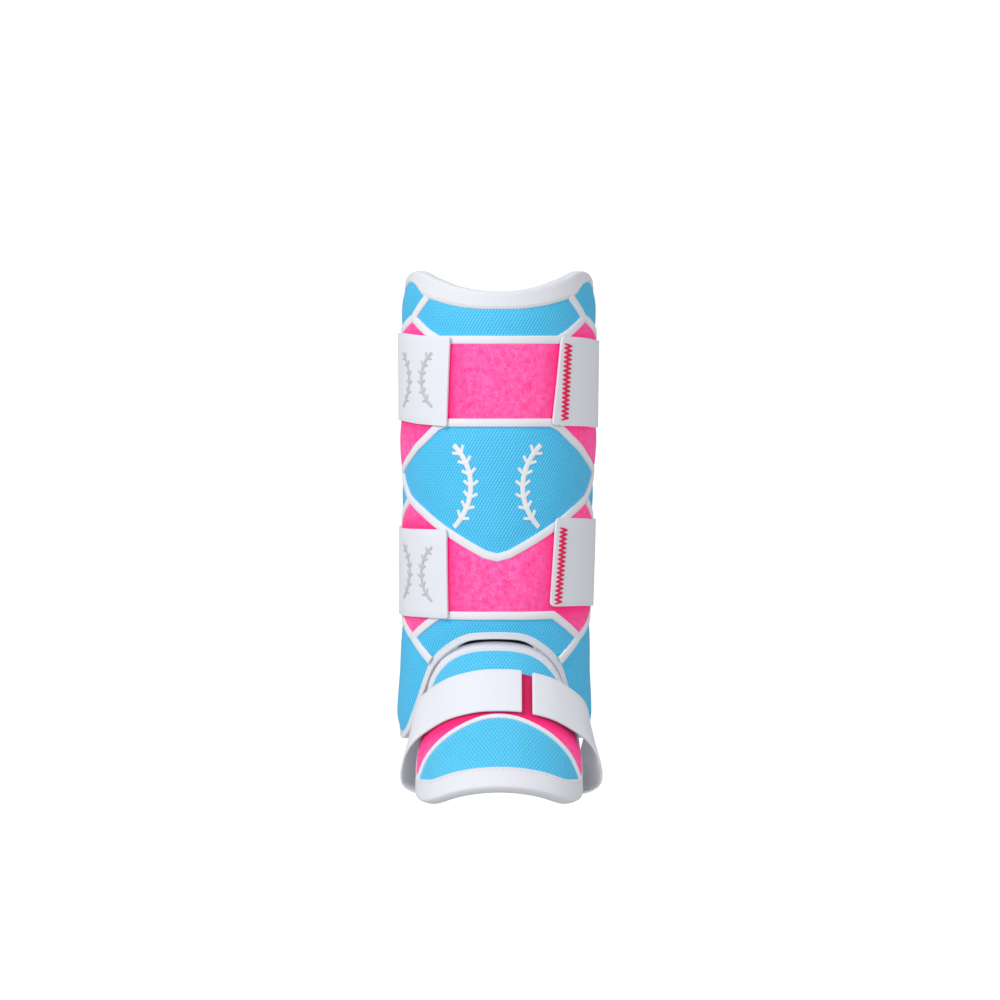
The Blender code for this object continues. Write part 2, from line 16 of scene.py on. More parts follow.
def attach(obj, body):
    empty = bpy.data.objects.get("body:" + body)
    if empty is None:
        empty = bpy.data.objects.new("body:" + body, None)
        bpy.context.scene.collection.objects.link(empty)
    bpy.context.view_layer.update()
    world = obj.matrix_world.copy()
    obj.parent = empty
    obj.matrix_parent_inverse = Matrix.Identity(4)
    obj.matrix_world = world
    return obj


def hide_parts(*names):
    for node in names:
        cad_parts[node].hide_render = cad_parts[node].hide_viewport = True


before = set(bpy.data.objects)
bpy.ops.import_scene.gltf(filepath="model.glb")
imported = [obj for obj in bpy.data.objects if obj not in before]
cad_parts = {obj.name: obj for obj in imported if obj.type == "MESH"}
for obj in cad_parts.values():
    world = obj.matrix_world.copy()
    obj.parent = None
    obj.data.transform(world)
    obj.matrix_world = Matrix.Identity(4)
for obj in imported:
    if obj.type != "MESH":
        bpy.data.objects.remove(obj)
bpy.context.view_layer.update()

LOG = logging.getLogger("leg_guard")
Table = tuple[tuple[Any, ...], ...]
Place = Callable[[float, float, float], Vector]
Colour = tuple[float, float, float]

# Shell section against height: width, depth and lean as shares of the shell's sizes
FORM_ROWS: Table = (
    ("height", "width", "depth", "lean"),
    (-1.00, 1.020, 0.960, -0.0458),
    (-0.90, 1.016, 0.958, -0.0458),
    (-0.75, 0.985, 0.950, -0.0387),
    (-0.55, 0.975, 0.945, -0.0282),
    (-0.30, 0.985, 0.965, -0.0176),
    (0.00, 0.992, 0.985, -0.0070),
    (0.20, 0.999, 0.995, -0.0035),
    (0.70, 1.008, 1.000, 0.0),
    (1.00, 1.000, 1.020, 0.0070),
)

# Shell outline, right half from the middle of the rim to the middle of the ankle arch
SHELL_ROWS: Table = (
    ("degrees", "height"),
    (0.0, 0.874),
    (10.0, 0.878),
    (18.0, 0.887),
    (28.0, 0.904),
    (38.5, 0.930),
    (45.5, 0.946),
    (52.5, 0.968),
    (60.0, 0.981),
    (69.0, 0.978),
    (79.0, 0.956),
    (90.0, 0.928),
    (97.5, 0.880),
    (102.0, 0.790),
    (104.0, 0.680),
    (104.0, 0.540),
    (104.0, 0.200),
    (104.0, -0.200),
    (104.0, -0.600),
    (103.0, -0.780),
    (99.5, -0.900),
    (92.0, -0.975),
    (82.0, -1.000),
    (72.0, -0.995),
    (64.0, -0.965),
    (57.5, -0.915),
    (52.5, -0.855),
    (48.0, -0.790),
    (43.5, -0.728),
    (38.5, -0.686),
    (33.0, -0.658),
    (27.0, -0.633),
    (20.5, -0.612),
    (13.0, -0.600),
    (0.0, -0.596),
)
RIM_BINDING_ROWS: Table = (
    ("degrees", "width"),
    (0.0, 0.833),
    (38.0, 1.000),
    (47.0, 1.000),
    (60.0, 0.648),
    (72.0, 0.426),
    (104.0, 0.352),
)

# Pattern lines on the shell, right half, run under the bindings at their ends
TOP_TRIM_ROWS: Table = (
    ("degrees", "height"),
    (0.0, 0.654),
    (37.0, 0.655),
    (44.0, 0.683),
    (60.0, 0.762),
    (46.4, 0.862),
)
CENTRE_TRIM_ROWS: Table = (
    ("degrees", "height"),
    (0.0, 0.261),
    (32.0, 0.260),
    (38.0, 0.240),
    (48.0, 0.179),
    (57.0, 0.134),
    (66.0, 0.083),
    (84.0, 0.008),
    (66.0, -0.086),
    (50.0, -0.134),
    (34.0, -0.192),
    (18.0, -0.247),
    (7.0, -0.284),
    (0.0, -0.295),
)
ANKLE_TRIM_ROWS: Table = (
    ("degrees", "height"),
    (0.0, -0.510),
    (36.5, -0.514),
    (60.5, -0.608),
    (42.6, -0.686),
)
SIDE_TRIM_ROWS: Table = (
    ("name", "start_degrees", "start_height", "end_degrees", "end_height"),
    ("upper", 62.0, 0.757, 101.0, 0.640),
    ("middle", 86.5, 0.012, 101.0, 0.030),
    ("waist", 67.5, -0.098, 101.0, -0.233),
    ("lower", 62.0, -0.604, 101.0, -0.490),
)

# Loop fabric outlines on the shell, right half
UPPER_LOOP_ROWS: Table = (
    ("degrees", "height"),
    (0.0, 0.630),
    (37.6, 0.631),
    (46.0, 0.662),
    (60.6, 0.735),
    (66.5, 0.719),
    (99.2, 0.619),
    (99.2, 0.050),
    (86.8, 0.038),
    (69.0, 0.105),
    (60.0, 0.154),
    (50.4, 0.201),
    (40.0, 0.262),
    (33.2, 0.288),
    (0.0, 0.288),
)
LOWER_LOOP_ROWS: Table = (
    ("degrees", "height"),
    (0.0, -0.315),
    (8.6, -0.303),
    (19.6, -0.264),
    (35.4, -0.210),
    (50.8, -0.154),
    (64.6, -0.112),
    (69.0, -0.122),
    (99.2, -0.250),
    (99.2, -0.474),
    (62.0, -0.586),
    (37.4, -0.494),
    (0.0, -0.490),
)

# Instep spine from where it starts at the shell, as shares of the guard's length
SPINE_ROWS: Table = (
    ("along", "forward", "height"),
    (0.00, 0.0000, 0.0000),
    (0.33, 0.2074, -0.2553),
    (0.66, 0.4309, -0.4947),
    (1.00, 0.6755, -0.7287),
)

# Guard outline, right half from the middle of the top edge to the middle of the hem
GUARD_ROWS: Table = (
    ("degrees", "along"),
    (0.0, -0.097),
    (13.0, -0.098),
    (21.0, -0.097),
    (29.0, -0.090),
    (37.5, -0.070),
    (44.5, -0.038),
    (51.0, 0.003),
    (57.0, 0.054),
    (62.5, 0.124),
    (68.5, 0.210),
    (73.5, 0.300),
    (77.5, 0.400),
    (80.0, 0.540),
    (79.5, 0.650),
    (75.0, 0.750),
    (66.0, 0.834),
    (56.0, 0.898),
    (46.0, 0.930),
    (34.0, 0.947),
    (18.0, 0.961),
    (0.0, 0.966),
)

# Sideways lean and spread of the instep form along its length, as shares of its radius
GUARD_DRIFT_ROWS: Table = (
    ("along", "lean", "spread"),
    (-0.10, -0.0430, 1.000),
    (0.05, -0.0370, 1.000),
    (0.20, 0.0000, 1.005),
    (0.50, 0.0070, 1.035),
    (1.00, 0.0050, 1.010),
)
HEM_BINDING_ROWS: Table = (
    ("along", "width"),
    (-0.08, 0.460),
    (0.00, 0.370),
    (0.20, 0.277),
    (0.60, 0.385),
    (0.80, 0.846),
    (0.95, 1.000),
)
GUARD_TRIM_ROWS: Table = (
    ("degrees", "along"),
    (0.0, 0.450),
    (10.0, 0.457),
    (19.0, 0.476),
    (36.5, 0.524),
    (50.5, 0.572),
    (58.5, 0.606),
    (65.0, 0.645),
    (70.0, 0.672),
)
GUARD_LOOP_ROWS: Table = (
    ("degrees", "along"),
    (0.0, 0.141),
    (24.0, 0.151),
    (40.0, 0.190),
    (50.0, 0.262),
    (62.5, 0.385),
    (71.0, 0.500),
    (72.2, 0.590),
    (69.6, 0.636),
    (63.0, 0.590),
    (51.0, 0.540),
    (37.0, 0.493),
    (19.0, 0.445),
    (10.0, 0.425),
    (0.0, 0.418),
)

# Calf straps from the left end round the back to the right end: centre as a share of the
# height that it lies at, slant of the end as a share of the strap's width
UPPER_STRAP_ROWS: Table = (
    ("degrees", "centre", "end_slant"),
    (-28.8, 0.456, 0.023),
    (-50.0, 0.464, 0.0),
    (-87.0, 0.478, 0.0),
    (-180.0, 0.464, 0.0),
    (-273.0, 0.441, 0.0),
    (-300.0, 0.451, 0.0),
    (-325.4, 0.460, 0.058),
)
LOWER_STRAP_ROWS: Table = (
    ("degrees", "centre", "end_slant"),
    (-29.2, -0.358, -0.012),
    (-50.0, -0.362, 0.0),
    (-87.0, -0.368, 0.0),
    (-180.0, -0.357, 0.0),
    (-273.0, -0.338, 0.0),
    (-300.0, -0.325, 0.0),
    (-326.0, -0.315, 0.027),
)
ZIGZAG_ROWS: Table = (
    ("tab", "top_degrees", "top_height", "low_degrees", "low_height"),
    ("upper", 42.2, 0.0770, 39.8, 0.0328),
    ("lower", 40.8, -0.0298, 37.7, -0.0742),
)

# Foot strap from the crown to the sole, right half, from the start of the instep spine:
# lengths as shares of the guard's radius, lean in degrees
STIRRUP_ROWS: Table = (
    ("across", "forward", "height", "lean", "splay"),
    (0.000, 0.387, -0.400, 49.7, 0.00),
    (0.222, 0.372, -0.411, 49.6, 0.00),
    (0.434, 0.323, -0.456, 49.5, 0.00),
    (0.641, 0.239, -0.529, 49.2, 0.00),
    (0.843, 0.116, -0.656, 48.0, 0.00),
    (1.032, -0.022, -0.828, 45.0, 0.04),
    (1.124, -0.140, -1.032, 40.0, 0.16),
    (1.131, -0.226, -1.247, 32.0, 0.33),
    (1.113, -0.290, -1.430, 22.0, 0.47),
    (1.079, -0.333, -1.581, 12.0, 0.51),
    (0.997, -0.366, -1.688, 4.0, 0.42),
    (0.852, -0.387, -1.738, 0.0, 0.26),
    (0.645, -0.409, -1.725, -3.0, 0.10),
    (0.323, -0.426, -1.695, -5.0, 0.03),
    (0.000, -0.430, -1.682, -5.0, 0.00),
)

# Ankle hinge: the form that it lies on, its place there and its depth under the face
HINGE_ROWS: Table = (
    ("along", "on_shell", "place", "depth"),
    (0.00, True, -0.4586, 1.075),
    (0.32, True, -0.5605, 1.100),
    (0.60, False, -0.0904, 1.317),
    (0.80, False, 0.0106, 1.150),
    (1.00, False, 0.1170, 1.067),
)


def column(rows: Table, heading: str) -> np.ndarray:
    """One named column of a table.

    Args:
        rows: The table, headings first.
        heading: Name of the column.

    Returns:
        The column's values.
    """
    index = rows[0].index(heading)
    return np.array([row[index] for row in rows[1:]])


def both_halves(half: np.ndarray, closed: bool) -> np.ndarray:
    """A symmetric line from its right half.

    Args:
        half: Points of the right half.
        closed: Whether the line closes on itself.

    Returns:
        The whole line.
    """
    mirrored = half * np.array((-1.0, 1.0))
    if closed:
        return np.vstack((half, mirrored[-2:0:-1]))
    return np.vstack((half[::-1], mirrored[1:]))


def smooth_line(points: np.ndarray, closed: bool, step: float) -> np.ndarray:
    """A Catmull-Rom line through points of any number of columns.

    Args:
        points: The points, one a row.
        closed: Whether the line closes on itself.
        step: About how far apart the new points are.

    Returns:
        The finer line.
    """
    count = len(points)
    line: list[np.ndarray] = []
    for i in range(count if closed else count - 1):
        before = points[(i - 1) % count] if closed or i else points[0]
        start = points[i]
        end = points[(i + 1) % count]
        after = points[(i + 2) % count] if closed or i + 2 < count else points[-1]
        steps = max(1, round(float(np.linalg.norm((end - start)[:3])) / step))
        for t in np.arange(steps) / steps:
            line.append(
                0.5 * (2 * start + (end - before) * t
                       + (2 * before - 5 * start + 4 * end - after) * t ** 2
                       + (3 * start - before - 3 * end + after) * t ** 3)
            )
    if not closed:
        line.append(points[-1])
    return np.array(line)


def straight_line(points: np.ndarray, closed: bool, step: float) -> np.ndarray:
    """A polyline cut into short pieces.

    Args:
        points: The corners.
        closed: Whether the line closes on itself.
        step: The longest piece.

    Returns:
        The finer line, with its corners kept.
    """
    count = len(points)
    line: list[np.ndarray] = []
    for i in range(count if closed else count - 1):
        start = points[i]
        end = points[(i + 1) % count]
        steps = max(1, math.ceil(float(np.linalg.norm(end - start)) / step))
        line.extend(start + (end - start) * t for t in np.arange(steps) / steps)
    if not closed:
        line.append(points[-1])
    return np.array(line)


def side_directions(line: np.ndarray, closed: bool) -> np.ndarray:
    """Mitred directions at right angles to a line, on its left-hand side.

    Args:
        line: The points of the line.
        closed: Whether the line closes on itself.

    Returns:
        One direction for each point, longer where the line turns.
    """
    if closed:
        ahead = np.roll(line, -1, axis=0) - line
        back = line - np.roll(line, 1, axis=0)
    else:
        step = np.diff(line, axis=0)
        ahead = np.vstack((step, step[-1:]))
        back = np.vstack((step[:1], step))
    ahead = ahead / np.linalg.norm(ahead, axis=1)[:, None]
    back = back / np.linalg.norm(back, axis=1)[:, None]
    ahead = np.column_stack((-ahead[:, 1], ahead[:, 0]))
    back = np.column_stack((-back[:, 1], back[:, 0]))
    middle = ahead + back
    middle = middle / np.linalg.norm(middle, axis=1)[:, None]
    return middle / np.maximum(np.sum(middle * ahead, axis=1), 0.45)[:, None]


def inward_directions(line: np.ndarray) -> np.ndarray:
    """Mitred directions into a closed outline.

    Args:
        line: The outline's points.

    Returns:
        One direction for each point, pointing inside.
    """
    sides = side_directions(line, closed=True)
    ahead = np.roll(line, -1, axis=0)
    area = float(np.sum(line[:, 0] * ahead[:, 1] - ahead[:, 0] * line[:, 1]))
    return sides if area > 0 else -sides


def rounded_corners(points: np.ndarray, radii: Sequence[float], steps: int) -> np.ndarray:
    """A closed outline with its corners rounded.

    Args:
        points: The corners.
        radii: How far along its sides each corner starts to turn.
        steps: Points on each rounded corner.

    Returns:
        The rounded outline's corners.
    """
    made: list[np.ndarray] = []
    for i, radius in enumerate(radii):
        corner = points[i]
        back = points[i - 1] - corner
        ahead = points[(i + 1) % len(points)] - corner
        start = corner + back / np.linalg.norm(back) * radius
        end = corner + ahead / np.linalg.norm(ahead) * radius
        for t in np.linspace(0.0, 1.0, steps):
            made.append(start * (1 - t) ** 2 + corner * 2 * t * (1 - t) + end * t ** 2)
    return np.array(made)


def inside(point: np.ndarray, outline: np.ndarray) -> bool:
    """Whether a point of the flat lies inside a closed outline.

    Args:
        point: The point.
        outline: The outline's points.

    Returns:
        True inside.
    """
    ahead = np.roll(outline, -1, axis=0)
    crosses = (outline[:, 1] > point[1]) != (ahead[:, 1] > point[1])
    rise = np.where(crosses, ahead[:, 1] - outline[:, 1], 1.0)
    at = outline[:, 0] + (point[1] - outline[:, 1]) * (ahead[:, 0] - outline[:, 0]) / rise
    return bool(np.count_nonzero(crosses & (point[0] < at)) % 2)


@dataclass(frozen=True)
class ShellForm:
    """The leg form that the shin pieces are laid on."""

    half_width: float = 0.0568
    front_depth: float = 0.0600
    back_depth: float = 0.0620
    rim_height: float = 0.1210
    skirt_depth: float = 0.1570

    def level(self, share: np.ndarray) -> np.ndarray:
        """Heights in metres from shares of the rim's height or the skirt's depth."""
        return np.where(share > 0, share * self.rim_height, share * self.skirt_depth)

    def place(self, around: float, height: float, lift: float) -> Vector:
        """A point of the form.

        Args:
            around: Distance round the leg from the front.
            height: Height above the middle.
            lift: How far out from the face.

        Returns:
            The point in space.
        """
        share = height / (self.rim_height if height > 0 else self.skirt_depth)
        levels = column(FORM_ROWS, "height")
        width = self.half_width * float(np.interp(share, levels, column(FORM_ROWS, "width")))
        front = self.front_depth * float(np.interp(share, levels, column(FORM_ROWS, "depth")))
        lean = self.half_width * float(np.interp(share, levels, column(FORM_ROWS, "lean")))
        angle = around / self.half_width
        depth = front if math.cos(angle) > 0 else self.back_depth
        place = Vector((lean + width * math.sin(angle), -depth * math.cos(angle), height))
        outward = Vector((depth * math.sin(angle), -width * math.cos(angle), 0.0))
        return place + outward.normalized() * lift

    def half_line(self, rows: Table) -> np.ndarray:
        """Right half of a symmetric line in metres in the flat."""
        around = np.radians(column(rows, "degrees")) * self.half_width
        return np.column_stack((around, self.level(column(rows, "height"))))


@dataclass(frozen=True)
class GuardForm:
    """The foot form that the instep pieces are laid on."""

    shell: ShellForm = ShellForm()
    length: float = 0.0940
    top_radius: float = 0.0465
    hem_radius: float = 0.0485
    start_forward: float = 0.9333
    start_height: float = -0.6561
    slope_step: float = 0.0060

    def start(self) -> Vector:
        """Where the instep spine begins, in front of the shell."""
        forward = self.start_forward * self.shell.front_depth
        return Vector((0.0, -forward, self.start_height * self.shell.skirt_depth))

    def spine(self, along: float) -> tuple[Vector, Vector]:
        """A point of the instep spine.

        Args:
            along: Distance along the guard.

        Returns:
            The point and the spine's direction there.
        """
        stations = column(SPINE_ROWS, "along") * self.length
        step = self.slope_step
        inside = min(max(along, stations[0] + step), stations[-1] - step)
        places: list[Vector] = []
        for at in (inside - step, inside, inside + step):
            forward = float(np.interp(at, stations, column(SPINE_ROWS, "forward")))
            height = float(np.interp(at, stations, column(SPINE_ROWS, "height")))
            offset = Vector((0.0, -forward, height)) * self.length
            places.append(self.start() + offset)
        direction = (places[2] - places[0]).normalized()
        return places[1] + direction * (along - inside), direction

    def place(self, around: float, along: float, lift: float) -> Vector:
        """A point of the form.

        Args:
            around: Distance round the foot from its middle.
            along: Distance along the instep.
            lift: How far out from the face.

        Returns:
            The point in space.
        """
        radius = self.top_radius + (self.hem_radius - self.top_radius) * along / self.length
        place, direction = self.spine(along)
        inward = Vector((0.0, -direction.z, direction.y))
        angle = around / radius
        reach = radius + lift
        share = along / self.length
        stations = column(GUARD_DRIFT_ROWS, "along")
        lean = self.top_radius * float(np.interp(share, stations, column(GUARD_DRIFT_ROWS, "lean")))
        spread = float(np.interp(share, stations, column(GUARD_DRIFT_ROWS, "spread")))
        across = Vector((lean + spread * reach * math.sin(angle), 0.0, 0.0))
        return place + across + inward * (radius - reach * math.cos(angle))

    def half_line(self, rows: Table) -> np.ndarray:
        """Right half of a symmetric line in metres in the flat."""
        along = column(rows, "along")
        radius = self.top_radius + (self.hem_radius - self.top_radius) * along
        around = np.radians(column(rows, "degrees")) * radius
        return np.column_stack((around, along * self.length))


@dataclass
class StirrupForm:
    """The path of the foot strap over the instep and under the sole."""

    guard: GuardForm
    shift: float = 0.0016
    step: float = 0.0020
    run: np.ndarray = field(init=False)
    ring: np.ndarray = field(init=False)
    length: float = field(init=False)

    def __post_init__(self) -> None:
        """Works out the smooth path once."""
        scale = np.array([self.guard.top_radius] * 3 + [1.0, 1.0])
        names = STIRRUP_ROWS[0]
        half = np.column_stack([column(STIRRUP_ROWS, name) for name in names]) * scale
        start = self.guard.start()
        half[:, 1] -= start.y
        half[:, 2] += start.z
        whole = np.vstack((half, (half * (-1.0, 1.0, 1.0, 1.0, -1.0))[-2:0:-1]))
        ring = smooth_line(whole, closed=True, step=self.step)
        overlap = len(ring) // 4
        self.ring = np.vstack((ring, ring[:overlap]))
        gaps = np.linalg.norm(np.diff(self.ring[:, :3], axis=0), axis=1)
        self.run = np.concatenate(((0.0,), np.cumsum(gaps)))
        self.length = float(self.run[len(ring)])

    def place(self, along: float, aside: float, lift: float) -> Vector:
        """A point of the foot strap.

        Args:
            along: Distance along the strap from its crown.
            aside: Distance from its middle line.
            lift: How far out from its inner face.

        Returns:
            The point in space.
        """
        at = (along - self.step, along, along + self.step)
        back, here, ahead = (
            np.array([np.interp(x, self.run, self.ring[:, i]) for i in range(5)]) for x in at
        )
        lean = math.radians(float(here[3]))
        shift = self.shift * abs(float(here[0])) / float(np.max(self.ring[:, 0]))
        place = Vector((float(here[0]) + shift, -float(here[1]), float(here[2])))
        run = ahead - back
        tangent = Vector((float(run[0]), -float(run[1]), float(run[2]))).normalized()
        wide = Vector((float(here[4]), -math.cos(lean), -math.sin(lean))).normalized()
        outward = wide.cross(tangent).normalized()
        return place + wide * aside + outward * lift


@dataclass(frozen=True)
class HingeForm:
    """The bridge between the inside of the shell and the inside of the guard."""

    guard: GuardForm = GuardForm()
    length: float = 0.0500
    shell_wall: float = 0.0080
    guard_wall: float = 0.0060

    def place(self, across: float, along: float, lift: float) -> Vector:
        """A point of the hinge.

        Args:
            across: Distance from its middle line.
            along: Distance along it from its top.
            lift: How far out from its outer face.

        Returns:
            The point in space.
        """
        shell = self.guard.shell
        places: list[Vector] = []
        for _, on_shell, at, depth in HINGE_ROWS[1:]:
            if on_shell:
                height = at * shell.skirt_depth
                places.append(shell.place(across, height, lift - depth * self.shell_wall))
            else:
                down = at * self.guard.length
                places.append(self.guard.place(across, down, lift - depth * self.guard_wall))
        stations = column(HINGE_ROWS, "along") * self.length
        return Vector([float(np.interp(along, stations, [p[i] for p in places]))
                       for i in range(3)])


def blown_sheet(low: np.ndarray, counts: tuple[int, int], step: float,
                sewn: Sequence[int]) -> np.ndarray:
    """Blows up a flat sheet of cloth that is sewn down at some of its points.

    Args:
        low: Its lowest corner in the flat.
        counts: Its points across and along.
        step: Distance between two points.
        sewn: Numbers of the points that stay down.

    Returns:
        How far each point rises.
    """
    sheet = bmesh.new()
    across, along = counts
    bmesh.ops.create_grid(sheet, x_segments=across - 1, y_segments=along - 1, size=0.5)
    bmesh.ops.translate(sheet, verts=sheet.verts, vec=(0.5, 0.5, 0.0))
    spread = ((across - 1) * step, (along - 1) * step, 1.0)
    bmesh.ops.scale(sheet, verts=sheet.verts, vec=spread)
    bmesh.ops.translate(sheet, verts=sheet.verts, vec=(low[0], low[1], 0.0))
    mesh = bpy.data.meshes.new("blown_sheet")
    sheet.to_mesh(mesh)
    sheet.free()
    cloth = bpy.data.objects.new("blown_sheet", mesh)
    bpy.context.scene.collection.objects.link(cloth)
    group = cloth.vertex_groups.new(name="sewn")
    group.add(list(sewn), 1.0, "REPLACE")
    settings = cloth.modifiers.new("Cloth", "CLOTH").settings
    settings.quality = 6
    settings.mass = 0.15
    settings.tension_stiffness = 25.0
    settings.compression_stiffness = 25.0
    settings.shear_stiffness = 12.0
    settings.bending_stiffness = 0.4
    settings.use_pressure = True
    settings.uniform_pressure_force = 4.0
    settings.vertex_group_mass = "sewn"
    settings.effector_weights.gravity = 0.0
    scene = bpy.context.scene
    for step_number in range(1, 21):
        scene.frame_set(step_number)
    shaped = cloth.evaluated_get(bpy.context.evaluated_depsgraph_get())
    rise = np.array([vert.co.z for vert in shaped.data.vertices])
    bpy.data.objects.remove(cloth, do_unlink=True)
    bpy.data.meshes.remove(mesh)
    scene.frame_set(1)
    return np.abs(rise)


@dataclass
class SoftFace:
    """A padded face that stands proud of its form between the seams that hold it down."""

    base: Place
    swell: float
    reach: float
    press_reach: float = 0.0090
    # How far the painted strap shadow reaches beyond the strap boxes
    strap_shade_reach: float = 0.0065
    starts: np.ndarray = field(default_factory=lambda: np.zeros((0, 2)))
    runs: np.ndarray = field(default_factory=lambda: np.zeros((0, 2)))
    halves: np.ndarray = field(default_factory=lambda: np.zeros(0))
    pressed_and_shaded: list[tuple[np.ndarray, np.ndarray]] = field(default_factory=list)
    pillow: np.ndarray | None = None
    pillow_step: float = 0.0040
    pillow_top: float = 92.0
    pillow_low: np.ndarray = field(default_factory=lambda: np.zeros(2))

    def hold(self, line: np.ndarray, closed: bool, half: float | np.ndarray) -> None:
        """Sews the face down along a line.

        Args:
            line: The seam in the flat.
            closed: Whether it closes on itself.
            half: Half the width of what covers it, one for all or one for each point.
        """
        ahead = np.roll(line, -1, axis=0) if closed else line[1:]
        start = line if closed else line[:-1]
        self.starts = np.vstack((self.starts, start))
        self.runs = np.vstack((self.runs, ahead - start))
        self.halves = np.concatenate((self.halves, np.full(len(start), half)))

    def press(self, low: Sequence[float], high: Sequence[float]) -> None:
        """Presses the face down under a strap, a box in the flat; the box also bounds the painted
        strap shadow.
        """
        self.pressed_and_shaded.append((np.array(low), np.array(high)))

    def seam_gap(self, point: np.ndarray) -> float:
        """Distance in the flat from a point to the nearest seam."""
        share = np.sum((point - self.starts) * self.runs, axis=1)
        share = share / np.sum(self.runs * self.runs, axis=1)
        nearest = self.starts + self.runs * np.clip(share, 0.0, 1.0)[:, None]
        gap = np.linalg.norm(point - nearest, axis=1) - self.halves
        return max(0.0, float(np.min(gap)))

    def proud(self, across: float, along: float) -> float:
        """How far the face stands proud.

        Args:
            across: Distance across the flat.
            along: Distance along the flat.

        Returns:
            The height above the form, in metres.
        """
        point = np.array((across, along))
        rise = 1.0 - math.exp(-self.seam_gap(point) / self.reach)
        for low, high in self.pressed_and_shaded:
            outside = np.linalg.norm(np.maximum(np.maximum(low - point, point - high), 0.0))
            rise *= min(1.0, float(outside) / self.press_reach)
        return self.swell * rise * self.pillow_share(point)

    def strap_shade(self, across: float, along: float) -> float:
        """How much painted shadow a strap lays on the loop fabric at a point, from 0 to 1."""
        point = np.array((across, along))
        gaps = [np.linalg.norm(np.maximum(np.maximum(low - point, point - high), 0.0))
                for low, high in self.pressed_and_shaded]
        return math.exp(-float(min(gaps)) / self.strap_shade_reach)

    def blow(self, outline: np.ndarray) -> None:
        """Blows the face up between its seams with a cloth simulation.

        Args:
            outline: The face's outline in the flat.
        """
        low = outline.min(axis=0) - self.pillow_step
        span = outline.max(axis=0) + self.pillow_step - low
        across, along = (int(math.ceil(size / self.pillow_step)) + 1 for size in span)
        sewn: list[int] = []
        for index in range(across * along):
            point = low + np.array((index % across, index // across)) * self.pillow_step
            covered = any(np.all(point > a) and np.all(point < b) for a, b in self.pressed_and_shaded)
            if covered or self.seam_gap(point) < self.pillow_step * 0.5 or not inside(point, outline):
                sewn.append(index)
        rise = blown_sheet(low, (across, along), self.pillow_step, sewn)
        top = max(float(np.percentile(rise, self.pillow_top)), 1e-6)
        LOG.info("cloth rose %.2f mm at most, kept to %.2f mm", rise.max() * 1000, self.swell * 1000)
        self.pillow_low = low
        self.pillow = np.sqrt(np.clip(rise / top, 0.0, 1.0)).reshape(along, across).T

    def pillow_share(self, point: np.ndarray) -> float:
        """Share of the swelling that the cloth simulation gives at a point."""
        if self.pillow is None:
            return 1.0
        at = (point - self.pillow_low) / self.pillow_step
        whole = np.clip(np.floor(at).astype(int), 0, np.array(self.pillow.shape) - 2)
        part = np.clip(at - whole, 0.0, 1.0)
        i, j = whole
        low = self.pillow[i, j] * (1 - part[0]) + self.pillow[i + 1, j] * part[0]
        high = self.pillow[i, j + 1] * (1 - part[0]) + self.pillow[i + 1, j + 1] * part[0]
        return float(low * (1 - part[1]) + high * part[1])

    def place(self, across: float, along: float, lift: float) -> Vector:
        """A point above the swollen face, as on the plain form."""
        return self.base(across, along, lift + self.proud(across, along))


class Patterning(Enum):
    """How the ribs of a knitted mesh run."""

    RIBBED = 0.0
    CROSSED = 1.0


@dataclass
class Sketch:
    """A shader node tree under construction."""

    tree: bpy.types.NodeTree

    def node(self, kind: str, **settings: Any) -> bpy.types.Node:
        """A new node.

        Args:
            kind: Its type.
            **settings: Properties to set on it.

        Returns:
            The node.
        """
        made = self.tree.nodes.new(kind)
        for name, value in settings.items():
            setattr(made, name, value)
        return made

    def feed(self, socket: bpy.types.NodeSocket, value: Any) -> None:
        """Links a socket to an output, or sets it to a value."""
        if isinstance(value, bpy.types.NodeSocket):
            self.tree.links.new(value, socket)
        else:
            socket.default_value = value

    def math(self, operation: str, first: Any, second: Any = 0.0) -> bpy.types.NodeSocket:
        """A Math node.

        Args:
            operation: What it does.
            first: First value or output.
            second: Second value or output.

        Returns:
            Its result.
        """
        made = self.node("ShaderNodeMath", operation=operation)
        self.feed(made.inputs[0], first)
        self.feed(made.inputs[1], second)
        return made.outputs[0]

    def blend(self, share: Any, first: Any, second: Any) -> bpy.types.NodeSocket:
        """A number blended from first to second by a share."""
        step = self.math("MULTIPLY", self.math("SUBTRACT", second, first), share)
        return self.math("ADD", first, step)

    def tint(self, share: Any, first: Any, second: Any) -> bpy.types.NodeSocket:
        """A colour mixed by a share.

        Args:
            share: 0 for the first colour, 1 for the second.
            first: First colour or output.
            second: Second colour or output.

        Returns:
            The mixed colour.
        """
        made = self.node("ShaderNodeMix", data_type="RGBA")
        self.feed(made.inputs["Factor"], share)
        for index, colour in ((6, first), (7, second)):
            plain = not isinstance(colour, bpy.types.NodeSocket)
            self.feed(made.inputs[index], (*colour, 1.0) if plain else colour)
        return made.outputs[2]

    def clamp(self, value: Any) -> bpy.types.NodeSocket:
        """A value kept between 0 and 1."""
        made = self.node("ShaderNodeClamp")
        self.feed(made.inputs[0], value)
        return made.outputs[0]


def make_group(name: str, inputs: dict[str, Any], outputs: Sequence[str]) -> tuple[Any, ...]:
    """An empty shader node group.

    Args:
        name: The group's name.
        inputs: Input names with their default values, Vector first.
        outputs: Output names, all plain numbers.

    Returns:
        The group, its sketch, its input node and its output node.
    """
    group = bpy.data.node_groups.new(name, "ShaderNodeTree")
    for key, value in inputs.items():
        kind = "NodeSocketVector" if value is None else "NodeSocketFloat"
        socket = group.interface.new_socket(key, in_out="INPUT", socket_type=kind)
        if value is not None:
            socket.default_value = value
    for key in outputs:
        group.interface.new_socket(key, in_out="OUTPUT", socket_type="NodeSocketFloat")
    sketch = Sketch(group)
    return group, sketch, sketch.node("NodeGroupInput"), sketch.node("NodeGroupOutput")


